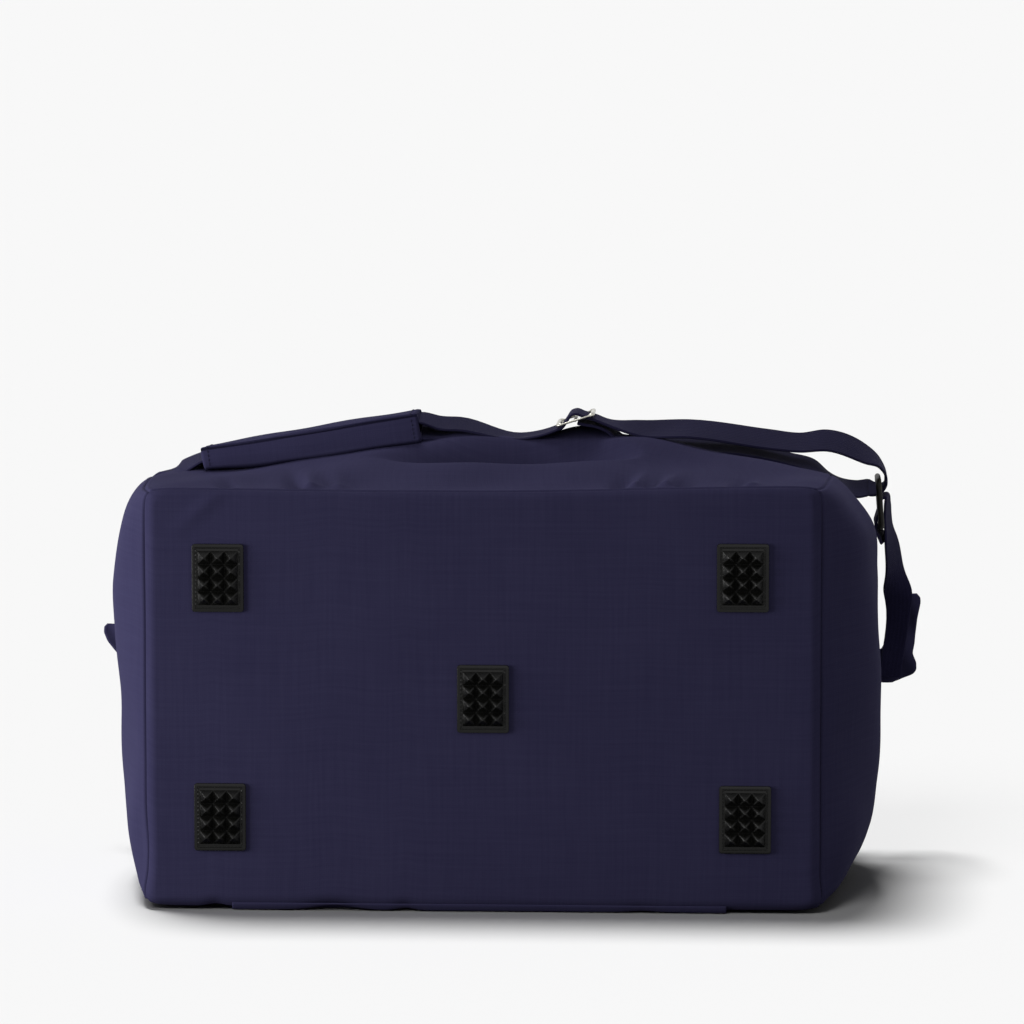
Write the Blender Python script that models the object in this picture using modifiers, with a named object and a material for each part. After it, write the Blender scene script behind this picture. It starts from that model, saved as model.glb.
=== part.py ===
import bmesh
import bpy
from math import cos, pi, radians, sin
from mathutils import Matrix, Vector

# A soft duffel bag lying on its back with its studded base to the front.
# Metres: +X along the bag, +Y from the base to the zipped mouth, +Z up from the floor.

# Bag body
HALF_LENGTH = 0.248
DEPTH = 0.310
BASE_Y = -DEPTH / 2
MOUTH_Y = DEPTH / 2
FRONT_Z = 0.310
POCKET_THICK = 0.005
GAP = 0.0003
BACK_Z = POCKET_THICK + GAP
MOUTH_LOW = 0.060
MOUTH_HIGH = 0.250
MOUTH_Z = (MOUTH_LOW + MOUTH_HIGH) / 2
WALL = 0.003
LENGTH_TAPER = 0.003
END_SWELL = 0.043
FRONT_SWELL = 0.019
SHOULDER_START = 0.56
SHOULDER_END = 0.74
GUSSET_SEAM = 0.66
CORNER_POWER = 14
CORNER = 2 ** (-1 / CORNER_POWER)
SEAM_SHARE = 0.0006
DEPTH_STATIONS = (
    0.0, 0.025, 0.08, 0.16, 0.25, 0.34, 0.43, 0.52, 0.60, GUSSET_SEAM, 0.74, 0.83, 0.92, 1.0,
)

# How the swells die away: a larger rim power keeps a swell full until nearer its seam
CROWN_STOP = 0.76
CROWN_LEAN = 1.5
FRONT_SIDE_RIM = 1.6
FRONT_EDGE_RIM = 4
END_ROUND = 0.75
END_TOP_RIM = 20
END_FLOOR_RIM = 3.5
END_SIDE_RIM = 4

# Lining and back pocket
LINING_CLEAR = 0.0028
LINING_THICK = 0.0008
LINING_SHORT = 0.0065
POCKET_HALF_LONG = 0.180
POCKET_HALF_TALL = 0.100
POCKET_CORNER = 0.006
POCKET_X = -0.003
POCKET_Y = -0.048

# Feet
FOOT_WIDE = 0.038
FOOT_TALL = 0.050
FOOT_PLATE = 0.002
STUD_PITCH = 0.010
STUD_HEIGHT = 0.005
STUD_TIP = 0.0009
STUD_COLUMNS = 3
STUD_ROWS = 4
FOOT_X = 0.192
FOOT_RISE = 0.0875
FOOT_Z = 0.157

# Mouth: two flaps that meet at a zip
FLAP_HALF = 0.2135
FLAP_THICK = 0.003
FLAP_CLEAR = 0.0025
FLAP_END_GAP = 0.001
HINGE_BEYOND = 0.001
ZIP_END_SHORT = 0.002
ZIP_HALF_GAP = 0.006
TAPE_UNDER = 0.015
TAPE_THICK = 0.0012
COIL_WIDE = 0.003
COIL_HIGH = 0.0026
HINGE_PROUD = 0.0015
SLIDER_LONG = 0.011
SLIDER_WIDE = 0.009
SLIDER_THICK = 0.0016
SLIDER_NOSE = 0.7
SLIDER_X = 0.007
ARCH_HALF = 0.0034
ARCH_HIGH = 0.0046
ARCH_WIRE = 0.0008
PULL_LONG = 0.030
PULL_WIDE = 0.010
PULL_THICK = 0.0012
PULL_CORNER = 0.0025
PULL_AXIS_RISE = 0.0017
PULL_END = 0.001
PULL_HOLE_START = 0.0012
PULL_HOLE_STOP = 0.0085
PULL_HOLE_HALF = 0.0028

# Webbing and its hardware
WEB_WIDE = 0.038
WEB_THICK = 0.002
WEB_BEND_SLACK = 0.0011
LEFT_LOOP_SLACK = 0.0026
RING_WIRE = 0.00225
RING_HALF_WIDE = 0.0235
RING_CORNER = 0.005
GLIDE_CENTRE = Vector((0.062, 0.030, 0.348))
GLIDE_TILT = radians(17.7)
GLIDE_WIDE = 0.046
GLIDE_LONG = 0.0295
GLIDE_BAR = 0.0025
GLIDE_THICK = 0.0024

# Shoulder pad
PAD_START = Vector((-0.2204, 0.030, 0.3175))
PAD_END = Vector((-0.0568, 0.030, 0.3475))
PAD_WIDE = 0.050
PAD_WALL = 0.0022
PAD_CORE = 0.0029
PAD_STRAIGHT = 0.016

# Carry handles
HANDLE_HALF = 0.085
HANDLE_REACH = 0.072
HANDLE_TUBE = 0.0065
HANDLE_LIFT = 0.010
HANDLE_ROOT = 0.143
HANDLE_CORNER = 0.028
HANDLE_LEG_START = 0.004
HANDLE_TAB_LONG = 0.045
HANDLE_TAB_WIDE = 0.030
BACK_HANDLE_DROOP = radians(5.3)  # hangs down to the floor

for old in list(bpy.data.objects):
    bpy.data.objects.remove(old, do_unlink=True)

bag = bpy.data.collections.new("duffel_bag")
cutters = bpy.data.collections.new("cutters")
for group in (bag, cutters):
    bpy.context.scene.collection.children.link(group)


def material(name, colour, roughness, metallic=0.0):
    made = bpy.data.materials.new(name)
    made.use_nodes = True
    shader = made.node_tree.nodes["Principled BSDF"]
    shader.inputs["Base Color"].default_value = (*colour, 1.0)
    shader.inputs["Roughness"].default_value = roughness
    shader.inputs["Metallic"].default_value = metallic
    made.diffuse_color = (*colour, 1.0)
    return made


NAVY_CANVAS = material("navy_canvas", (0.021, 0.019, 0.045), 0.85)
NAVY_LINING = material("navy_lining", (0.030, 0.030, 0.060), 0.7)
NAVY_WEBBING = material("navy_webbing", (0.014, 0.013, 0.032), 0.8)
BLACK_RUBBER = material("black_rubber", (0.010, 0.010, 0.010), 0.5)
BLACK_BOARD = material("black_board", (0.015, 0.015, 0.016), 0.6)
ZIP_TAPE = material("zip_tape", (0.012, 0.012, 0.028), 0.8)
ZIP_COIL = material("zip_coil", (0.014, 0.014, 0.020), 0.4)
GUNMETAL = material("gunmetal", (0.30, 0.30, 0.28), 0.3, 1.0)
BLACK_METAL = material("black_metal", (0.03, 0.03, 0.028), 0.35, 1.0)


def place(name, data, finish, group=bag):
    made = bpy.data.objects.new(name, data)
    group.objects.link(made)
    if not data.materials:
        data.materials.append(finish)
    return made


def pivot(name, point):
    empty = bpy.data.objects.new(name, None)
    empty.empty_display_size = 0.02
    empty.location = point
    bag.objects.link(empty)
    return empty


def hang(piece, empty):
    piece.parent = empty
    piece.matrix_parent_inverse = Matrix.Translation(empty.location).inverted()


def sheet_pair(name, outer, inner, columns, rows, finish):
    """A closed wall between two mapped grids, bridged round the edge."""
    shell = bmesh.new()
    for surface in (outer, inner):
        grid = bmesh.ops.create_grid(shell, x_segments=columns, y_segments=rows, size=1.0)
        for vertex in grid["verts"]:
            vertex.co = surface(vertex.co.x, vertex.co.y)
    rim = [edge for edge in shell.edges if edge.is_boundary]
    bmesh.ops.bridge_loops(shell, edges=rim)
    bmesh.ops.recalc_face_normals(shell, faces=shell.faces)
    mesh = bpy.data.meshes.new(name)
    shell.to_mesh(mesh)
    shell.free()
    return place(name, mesh, finish)


def flat_plate(name, outlines, low_y, high_y, finish):
    """A plate square to Y, from outlines of (x, z) points: the first is the edge and the rest are holes."""
    curve = bpy.data.curves.new(name, "CURVE")
    curve.dimensions = "2D"
    curve.fill_mode = "BOTH"
    curve.extrude = (high_y - low_y) / 2
    for outline in outlines:
        spline = curve.splines.new("POLY")
        spline.points.add(len(outline) - 1)
        for point, (x, z) in zip(spline.points, outline):
            point.co = (x, z, 0, 1)
        spline.use_cyclic_u = True
    made = place(name, curve, finish)
    made.rotation_euler = (pi / 2, 0, 0)
    made.location = (0, (low_y + high_y) / 2, 0)
    return made


def tube(name, points, radius, finish, closed=False):
    curve = bpy.data.curves.new(name, "CURVE")
    curve.dimensions = "3D"
    curve.bevel_depth = radius
    curve.bevel_resolution = 2
    curve.use_fill_caps = True
    spline = curve.splines.new("POLY")
    spline.points.add(len(points) - 1)
    for knot, point in zip(spline.points, points):
        knot.co = (*point, 1)
    spline.use_cyclic_u = closed
    return place(name, curve, finish)


def as_mesh(piece):
    """The evaluated solid of a curve object, welded, in place of the curve."""
    bpy.context.view_layer.update()
    name = piece.name
    graph = bpy.context.evaluated_depsgraph_get()
    mesh = bpy.data.meshes.new_from_object(piece.evaluated_get(graph))
    matrix = piece.matrix_world.copy()
    group = piece.users_collection[0]
    finish = piece.data.materials[0]
    bpy.data.objects.remove(piece, do_unlink=True)
    welded = bmesh.new()
    welded.from_mesh(mesh)
    bmesh.ops.remove_doubles(welded, verts=welded.verts, dist=1e-6)
    bmesh.ops.recalc_face_normals(welded, faces=welded.faces)
    welded.to_mesh(mesh)
    welded.free()
    made = place(name, mesh, finish, group)
    made.name = name
    made.matrix_world = matrix
    return made


def boolean(piece, other, operation):
    other.hide_render = True
    other.display_type = "WIRE"
    for group in list(other.users_collection):
        group.objects.unlink(other)
    cutters.objects.link(other)
    step = piece.modifiers.new(other.name, "BOOLEAN")
    step.operation = operation
    step.object = other


def rounded_rectangle(centre_x, centre_z, half_x, half_z, radius, steps=4):
    points = []
    corners = ((1, 1, 0), (-1, 1, 90), (-1, -1, 180), (1, -1, 270))
    for side_x, side_z, start in corners:
        for step in range(steps + 1):
            angle = radians(start + 90 * step / steps)
            x = centre_x + side_x * (half_x - radius) + radius * cos(angle)
            z = centre_z + side_z * (half_z - radius) + radius * sin(angle)
            points.append((x, z))
    return points


def smooth_route(points, per_span):
    """A Catmull-Rom curve through the points."""
    points = [Vector(point) for point in points]
    padded = [2 * points[0] - points[1], *points, 2 * points[-1] - points[-2]]
    route = []
    for span in range(len(points) - 1):
        before, start, end, after = padded[span : span + 4]
        for step in range(per_span):
            t = step / per_span
            pull = (end - before) * t + (2 * before - 5 * start + 4 * end - after) * t**2
            pull += (3 * start - before - 3 * end + after) * t**3
            route.append(start + pull / 2)
    route.append(points[-1])
    return route


def webbing(name, points, widths, per_span=3, finish=NAVY_WEBBING, wide=WEB_WIDE, thick=WEB_THICK):
    """A flat band along a route, with its width direction given at each point."""
    route = smooth_route(points, per_span)
    across = [width.normalized() for width in smooth_route(widths, per_span)]
    last = len(route) - 1
    normals = []
    for knot in range(last + 1):
        along = route[min(knot + 1, last)] - route[max(knot - 1, 0)]
        normals.append(along.cross(across[knot]).normalized())

    def face(side):
        def surface(u, v):
            knot = round((u + 1) / 2 * last)
            lift = normals[knot] * (side * thick / 2)
            return route[knot] + across[knot] * (v * wide / 2) + lift

        return surface

    return sheet_pair(name, face(1), face(-1), last, 1, finish)


# The bag's skin: depth runs from 0 at the base to 1 at the mouth,
# across and up run from -1 to 1 over each section, a rectangle with rounded corners.


def shoulder(depth):
    """How far the section has narrowed at a depth, 0 to 1: level, then a curve, then a straight slope."""
    curve = SHOULDER_END - SHOULDER_START
    whole = curve / 2 + 1 - SHOULDER_END
    past = depth - SHOULDER_START
    if past <= 0:
        return 0.0
    if past < curve:
        return past**2 / (2 * curve) / whole
    return (past - curve / 2) / whole


def front_z(depth):
    return FRONT_Z - (FRONT_Z - MOUTH_HIGH) * shoulder(depth)


def back_z(depth):
    return BACK_Z + (MOUTH_LOW - BACK_Z) * shoulder(depth)


def bag_point(depth, across, up, inset):
    top, bottom = front_z(depth), back_z(depth)
    half_up = (top - bottom) / 2 - inset
    half_across = HALF_LENGTH - LENGTH_TAPER * depth - inset
    crown = sin(pi * min(depth / CROWN_STOP, 1.0) ** CROWN_LEAN)
    front = FRONT_SWELL * crown * (1 - abs(across) ** FRONT_SIDE_RIM) * max(up, 0) ** FRONT_EDGE_RIM
    fullness = max(4 * depth * (1 - depth), 0) ** END_ROUND
    rounding = 1 - (up**END_TOP_RIM if up > 0 else abs(up) ** END_FLOOR_RIM)
    end = END_SWELL * fullness * rounding * abs(across) ** END_SIDE_RIM
    x = half_across * across + (end if across > 0 else -end)
    z = (top + bottom) / 2 + half_up * up + front
    return Vector((x, BASE_Y + DEPTH * depth, z))


def rest_of(along):
    return (1 - abs(along) ** CORNER_POWER) ** (1 / CORNER_POWER)


def side_point(side, along):
    """(across, up) on one side of the section, along running from -1 to 1 between its corners."""
    reach = CORNER * (1 - SEAM_SHARE) * sin(pi / 2 * along)
    if side in ("front", "back"):
        return reach, rest_of(reach) * (1 if side == "front" else -1)
    return rest_of(reach) * (1 if side == "right" else -1), reach


def skin_panel(name, side, start, stop, columns):
    """A sewn panel of one side, with the depth stations that all the panels share."""
    between = [depth for depth in DEPTH_STATIONS if start + 0.01 < depth < stop - 0.01]
    depths = [start, *between, stop]
    rows = len(depths) - 1

    def skin(inset):
        def surface(u, v):
            across, up = side_point(side, u)
            return bag_point(depths[round((v + 1) / 2 * rows)], across, up, inset)

        return surface

    return sheet_pair(name, skin(0), skin(WALL), columns, rows, NAVY_CANVAS)


def section_outline(depth, inset, per_side=10):
    """(x, z) points round the section at a depth."""
    points = []
    for side, sign in (("front", -1), ("left", -1), ("back", 1), ("right", 1)):
        for step in range(per_side):
            along = sign * (2 * step / per_side - 1)
            place_at = bag_point(depth, *side_point(side, along), inset)
            points.append((place_at.x, place_at.z))
    return points


def build_skin():
    seam = SEAM_SHARE
    for side in ("front", "back"):
        skin_panel(f"{side}_panel", side, 0.0, GUSSET_SEAM - seam, 12)
        skin_panel(f"{side}_gusset", side, GUSSET_SEAM + seam, 1.0, 12)
    for side in ("left", "right"):
        skin_panel(f"{side}_end_panel", side, 0.0, 1.0, 14)
    base = section_outline(0.0, WALL + 2 * GAP, 12)
    flat_plate("base_panel", [base], BASE_Y, BASE_Y + WALL, NAVY_CANVAS)
    board = section_outline(0.0, WALL + 5 * GAP, 12)
    inner = BASE_Y + WALL + GAP
    flat_plate("base_board", [board], inner, inner + WALL, BLACK_BOARD)


def build_lining():
    """A thin tub of cloth inside the panels, open at the mouth and sitting on the base board."""
    low = (2 * WALL + 2 * GAP) / DEPTH
    high = 1 - LINING_SHORT / DEPTH
    sides = ("front", -1), ("left", -1), ("back", 1), ("right", 1)
    per_side = 12
    around = len(sides) * per_side
    depths = [low, *DEPTH_STATIONS[2:-1], high]
    rows = len(depths) - 1
    tub = bmesh.new()
    grid = bmesh.ops.create_grid(tub, x_segments=around, y_segments=rows, size=1.0)
    for vertex in grid["verts"]:
        step = round((vertex.co.x + 1) / 2 * around) % around
        side, sign = sides[step // per_side]
        along = sign * (2 * (step % per_side) / per_side - 1)
        depth = depths[round((vertex.co.y + 1) / 2 * rows)]
        vertex.co = bag_point(depth, *side_point(side, along), WALL + LINING_CLEAR)
    bmesh.ops.remove_doubles(tub, verts=tub.verts, dist=1e-6)
    deepest = BASE_Y + DEPTH * low
    bottom = [e for e in tub.edges if e.is_boundary and abs(e.verts[0].co.y - deepest) < 1e-6]
    bmesh.ops.edgeloop_fill(tub, edges=bottom)
    bmesh.ops.recalc_face_normals(tub, faces=tub.faces)
    mesh = bpy.data.meshes.new("lining")
    tub.to_mesh(mesh)
    tub.free()
    lining = place("lining", mesh, NAVY_LINING)
    wall = lining.modifiers.new("cloth", "SOLIDIFY")
    wall.thickness = LINING_THICK
    wall.offset = -1


def build_back_pocket():
    """A slip pocket along the back, whose flat outer face is what the bag lies on."""
    outline = rounded_rectangle(0, 0, POCKET_HALF_LONG, POCKET_HALF_TALL, POCKET_CORNER)
    pocket = flat_plate("back_pocket", [outline], 0, POCKET_THICK, NAVY_CANVAS)
    pocket.rotation_euler = (0, 0, 0)
    pocket.location = (POCKET_X, POCKET_Y, POCKET_THICK / 2)


def build_foot(name, x, z):
    """A rubber plate with rows of square pyramids inside a plain border."""
    foot = bmesh.new()
    columns, rows = STUD_COLUMNS + 2, STUD_ROWS + 2
    bmesh.ops.create_grid(foot, x_segments=columns, y_segments=rows, size=1.0)
    half_wide, half_tall = STUD_COLUMNS * STUD_PITCH / 2, STUD_ROWS * STUD_PITCH / 2
    back = BASE_Y - GAP
    for vertex in foot.verts:
        column = round((vertex.co.x + 1) / 2 * columns)
        row = round((vertex.co.y + 1) / 2 * rows)
        wide = (column - 1) * STUD_PITCH - half_wide
        tall = (row - 1) * STUD_PITCH - half_tall
        wide = max(-FOOT_WIDE / 2, min(FOOT_WIDE / 2, wide))
        tall = max(-FOOT_TALL / 2, min(FOOT_TALL / 2, tall))
        vertex.co = (x + wide, back, z + tall)
    grown = bmesh.ops.extrude_face_region(foot, geom=foot.faces[:])["geom"]
    outer = [item for item in grown if isinstance(item, bmesh.types.BMVert)]
    bmesh.ops.translate(foot, verts=outer, vec=(0, -FOOT_PLATE, 0))
    bmesh.ops.recalc_face_normals(foot, faces=foot.faces)
    studs = []
    for face in foot.faces:
        centre = face.calc_center_median()
        inside = abs(centre.x - x) < half_wide and abs(centre.z - z) < half_tall
        if face.normal.y < -0.9 and inside:
            studs.append(face)
    tips = bmesh.ops.poke(foot, faces=studs)["verts"]
    bmesh.ops.translate(foot, verts=tips, vec=(0, -STUD_HEIGHT, 0))
    bmesh.ops.bevel(foot, geom=tips, offset=STUD_TIP, segments=1, affect="VERTICES")
    bmesh.ops.recalc_face_normals(foot, faces=foot.faces)
    mesh = bpy.data.meshes.new(name)
    foot.to_mesh(mesh)
    foot.free()
    return place(name, mesh, BLACK_RUBBER)


def build_feet():
    for row, side_z in (("upper", 1), ("lower", -1)):
        for end, side_x in (("left", -1), ("right", 1)):
            build_foot(f"foot_{row}_{end}", side_x * FOOT_X, FOOT_Z + side_z * FOOT_RISE)
    build_foot("foot_middle", 0.0, FOOT_Z)


def build_mouth():
    """Two fixed end plates and two flaps that part at a zip along the middle."""
    outline = section_outline(1.0, WALL + GAP, 12)
    edge = FLAP_HALF + FLAP_END_GAP
    for name, side in (("left_mouth_end", -1), ("right_mouth_end", 1)):
        beyond = [(x, z) for x, z in outline if x * side > edge]
        beyond.sort(key=lambda point: point[1])
        low, high = beyond[0][1], beyond[-1][1]
        closed = [(side * edge, low), *beyond, (side * edge, high)]
        flat_plate(name, [closed], MOUTH_Y - FLAP_THICK, MOUTH_Y, NAVY_CANVAS)
    reach = (MOUTH_HIGH - MOUTH_LOW) / 2 - WALL - FLAP_CLEAR
    tape_top = MOUTH_Y - FLAP_THICK - GAP
    for name, side in (("front", 1), ("back", -1)):
        hinge_z = MOUTH_Z + side * (reach + HINGE_BEYOND)
        hinge = pivot(f"{name}_flap_hinge", (0, MOUTH_Y + HINGE_PROUD, hinge_z))
        strips = (
            ("flap", ZIP_HALF_GAP, reach, MOUTH_Y - FLAP_THICK, MOUTH_Y, NAVY_CANVAS),
            ("zip_tape", GAP, ZIP_HALF_GAP + TAPE_UNDER, tape_top - TAPE_THICK, tape_top, ZIP_TAPE),
            ("zip_coil", GAP, GAP + COIL_WIDE, tape_top + GAP, tape_top + GAP + COIL_HIGH, ZIP_COIL),
        )
        for part, start, stop, low, high, finish in strips:
            half = FLAP_HALF if part == "flap" else FLAP_HALF - ZIP_END_SHORT
            centre = MOUTH_Z + side * (start + stop) / 2
            square = [(-half, -1), (half, -1), (half, 1), (-half, 1)]
            bar = [(x, centre + turn * (stop - start) / 2) for x, turn in square]
            hang(flat_plate(f"{name}_{part}", [bar], low, high, finish), hinge)


def build_slider(name, side):
    """A zip slider: a wedge plate with an arch, and a pull that turns in the arch."""
    low = MOUTH_Y - FLAP_THICK + COIL_HIGH + GAP
    high = low + SLIDER_THICK
    x = side * SLIDER_X
    half_long, half_wide = SLIDER_LONG / 2, SLIDER_WIDE / 2
    nose = half_wide * SLIDER_NOSE
    wedge = [(-half_long, -nose), (half_long, -half_wide), (half_long, half_wide), (-half_long, nose)]
    outline = [(x + side * along, MOUTH_Z + wide) for along, wide in wedge]
    plate = as_mesh(flat_plate(name, [outline], low, high, GUNMETAL))
    foot = low + SLIDER_THICK / 2
    steps = [pi * step / 10 for step in range(11)]
    arch = [(x + ARCH_HALF * cos(a), foot + ARCH_HIGH * sin(a), MOUTH_Z) for a in steps]
    bridge = as_mesh(tube(f"{name}_arch", arch, ARCH_WIRE, GUNMETAL))
    boolean(plate, bridge, "UNION")
    track = pivot(f"{name}_track", (x, high, MOUTH_Z))
    hang(plate, track)
    axis_y = high + PULL_AXIS_RISE
    tab_x = x + side * (PULL_LONG / 2 - PULL_END)
    tab = rounded_rectangle(tab_x, MOUTH_Z, PULL_LONG / 2, PULL_WIDE / 2, PULL_CORNER)
    hole_x = x + side * (PULL_HOLE_START + PULL_HOLE_STOP) / 2
    hole_half_long = (PULL_HOLE_STOP - PULL_HOLE_START) / 2
    hole = rounded_rectangle(hole_x, MOUTH_Z, hole_half_long, PULL_HOLE_HALF, PULL_END)
    under, over = axis_y - PULL_THICK / 2, axis_y + PULL_THICK / 2
    pull = flat_plate(name.replace("slider", "pull"), [tab, hole], under, over, GUNMETAL)
    hang(pull, pivot(f"{pull.name}_hinge", (x, axis_y, MOUTH_Z)))


def ring_points(upper, lower):
    """A rounded rectangle of wire whose end bars run along Y at the two points."""
    centre, half = (upper + lower) / 2, (upper - lower) / 2
    flat = rounded_rectangle(0, 0, RING_HALF_WIDE, half.length, RING_CORNER, 3)
    rise = half.normalized()
    return [centre + Vector((0, wide, 0)) + rise * up for wide, up in flat]


EAST = Vector((1, 0, 0))
NORTH = Vector((0, 1, 0))
LEAN = Vector((0, cos(radians(10)), sin(radians(10))))
RIGHT_RING = Vector((0.2930, 0.115, 0.2945)), Vector((0.2956, 0.115, 0.2590))
LEFT_RING = Vector((-0.2750, 0.128, 0.2520)), Vector((-0.2770, 0.128, 0.2165))


def build_end(name, ring, tab_points, tab_low, tab_high, foot_point):
    """A fabric tab at the end of the zip, with the webbing that holds the strap's ring."""
    side = 1 if ring[0].x > 0 else -1
    upper, lower = ring
    wire = tube(f"{name}_ring", ring_points(upper, lower), RING_WIRE, BLACK_METAL, True)
    hang(wire, pivot(f"{name}_ring_hinge", lower))
    bend = RING_WIRE + WEB_THICK / 2 + WEB_BEND_SLACK
    around = (
        (-bend, -0.016), (-bend, -0.006), (-bend, 0.0), (-bend * 0.7, bend * 0.7), (0.0, bend),
        (bend * 0.7, bend * 0.7), (bend, 0.0), (bend + 0.001, -0.009),
    )
    loop = [lower + Vector((side * out, 0, up)) for out, up in around]
    middle = (loop[-1] + foot_point) / 2
    widths = [NORTH] * len(loop) + [(NORTH + side * EAST) / 2, side * EAST]
    webbing(f"{name}_anchor", [*loop, middle, foot_point], widths, 3)
    tall = (tab_high - tab_low) / 2
    heights = [Vector((0, 0, 1))] * len(tab_points)
    raised = [Vector((x, y, tab_low + tall + drop)) for x, y, drop in tab_points]
    webbing(f"{name}_end_tab", raised, heights, 2, NAVY_CANVAS, 2 * tall, 0.003)


def glide_point(along, up):
    """A point in the tri-glide's own plane of travel, in millimetres along the strap and above the bars."""
    forward = Vector((cos(GLIDE_TILT), 0, sin(GLIDE_TILT)))
    rise = Vector((-sin(GLIDE_TILT), 0, cos(GLIDE_TILT)))
    return GLIDE_CENTRE + (forward * along + rise * up) / 1000


def build_tri_glide():
    half_wide, half_long = GLIDE_WIDE / 2, GLIDE_LONG / 2
    edge = rounded_rectangle(0, 0, half_long, half_wide, 0.004)
    slot_half = (half_long - GLIDE_BAR - GLIDE_BAR / 2) / 2
    slot_x = GLIDE_BAR / 2 + slot_half
    play = 0.001
    slot_tall = WEB_WIDE / 2 + play
    slots = [rounded_rectangle(side * slot_x, 0, slot_half, slot_tall, play, 2) for side in (-1, 1)]
    glide = flat_plate("tri_glide", [edge, *slots], 0, GLIDE_THICK, GUNMETAL)
    glide.rotation_euler = (0, -GLIDE_TILT, 0)
    glide.location = GLIDE_CENTRE


def build_shoulder_strap():
    """One long band from the left ring, through the pad and the tri-glide, round the right ring."""
    along = (PAD_END - PAD_START).normalized()
    left = LEFT_RING[0]
    bend = RING_WIRE + WEB_THICK / 2 + WEB_BEND_SLACK
    lap = [left + Vector((bend, 0, up)) for up in (0.018, 0.006, 0.0)]
    slack = bend + LEFT_LOOP_SLACK
    round_bar = ((0.7 * bend, -0.7), (-0.1 * slack, -1.0), (-0.8 * slack, -0.7), (-slack, 0.0))
    under = [left + Vector((out, 0, up * bend)) for out, up in round_bar]
    under.append(left + Vector((-slack, -0.001, 0.010)))
    corner = [
        Vector((-0.2765, 0.119, 0.2760)), Vector((-0.2700, 0.098, 0.2910)), Vector((-0.2560, 0.064, 0.3060)),
    ]
    straight = along * PAD_STRAIGHT
    pad = [PAD_START - straight, PAD_START, PAD_END, PAD_END + straight]
    glide = [
        (-19, -3.2), (-14.5, -2.8), (-12, -2.7), (-6.8, 0.0), (-1.6, 2.7),
        (1.6, 2.7), (6.8, 0.0), (12, -2.7), (14.5, -2.8), (20, -3.4),
    ]
    threaded = [glide_point(*step) for step in glide]
    outer = [
        Vector((0.1106, 0.030, 0.3368)), Vector((0.1486, 0.030, 0.3400)), Vector((0.2093, 0.045, 0.3330)),
        Vector((0.2530, 0.072, 0.3270)), Vector((0.2825, 0.095, 0.3161)), Vector((0.2940, 0.107, 0.3080)),
    ]
    right = RIGHT_RING[0]
    bight = [(0.0062, 0.0), (0.0058, -0.004), (0.0030, -0.0072), (-0.002, -0.0082), (-0.0075, -0.0070)]
    turn = [right + Vector((out, 0, up)) for out, up in bight]
    sag = [Vector((-0.0263, 0.030, 0.3495)), Vector((0.0194, 0.030, 0.3356))]
    points = [*lap, *under, *corner, *pad, *sag, *threaded, *outer, *turn]
    widths = [NORTH] * (len(lap) + len(under) + 1)
    widths += [(EAST + NORTH) / 2, (EAST + 2 * NORTH) / 3]
    widths += [NORTH] * (len(pad) + len(sag) + len(threaded))
    widths += [NORTH, *[LEAN] * (len(outer) - 2)] + [NORTH] * (len(turn) + 1)
    webbing("shoulder_strap", points, widths, 3)
    start = turn[-1] + Vector((-0.0006, 0, 0.0001))
    leaning = [
        Vector((0.2749, 0.098, 0.2935)), Vector((0.2515, 0.070, 0.3114)), Vector((0.2246, 0.056, 0.3180)),
        Vector((0.1903, 0.042, 0.3264)), Vector((0.1400, 0.033, 0.3275)),
    ]
    tucked = [glide_point(*step) for step in ((20, -7.6), (13.5, -5.6), (7, -4.4), (0.5, -2.9))]
    back = [start, *leaning, Vector((0.0985, 0.030, 0.3305)), *tucked]
    widths = [NORTH, *[LEAN] * len(leaning), NORTH, *[NORTH] * len(tucked)]
    webbing("strap_return", back, widths, 3)


def build_shoulder_pad():
    """A padded sleeve folded round the strap, open along its near edge."""
    along = PAD_END - PAD_START
    rise = along.cross(NORTH).normalized()
    straight = PAD_WIDE - PAD_CORE - PAD_WALL
    total = 2 * straight + pi * PAD_CORE
    near = -PAD_WIDE / 2

    def face(side):
        radius = PAD_CORE + side * PAD_WALL / 2

        def surface(u, v):
            run = (v + 1) / 2 * total
            if run < straight:
                wide, up = near + run, radius
            elif run > total - straight:
                wide, up = near + total - run, -radius
            else:
                angle = (run - straight) / PAD_CORE
                wide, up = near + straight + radius * sin(angle), radius * cos(angle)
            return PAD_START + along * (u + 1) / 2 + NORTH * wide + rise * up

        return surface

    pad = sheet_pair("shoulder_pad", face(1), face(-1), 4, 40, NAVY_CANVAS)
    hang(pad, pivot("shoulder_pad_track", (PAD_START + PAD_END) / 2))


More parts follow.
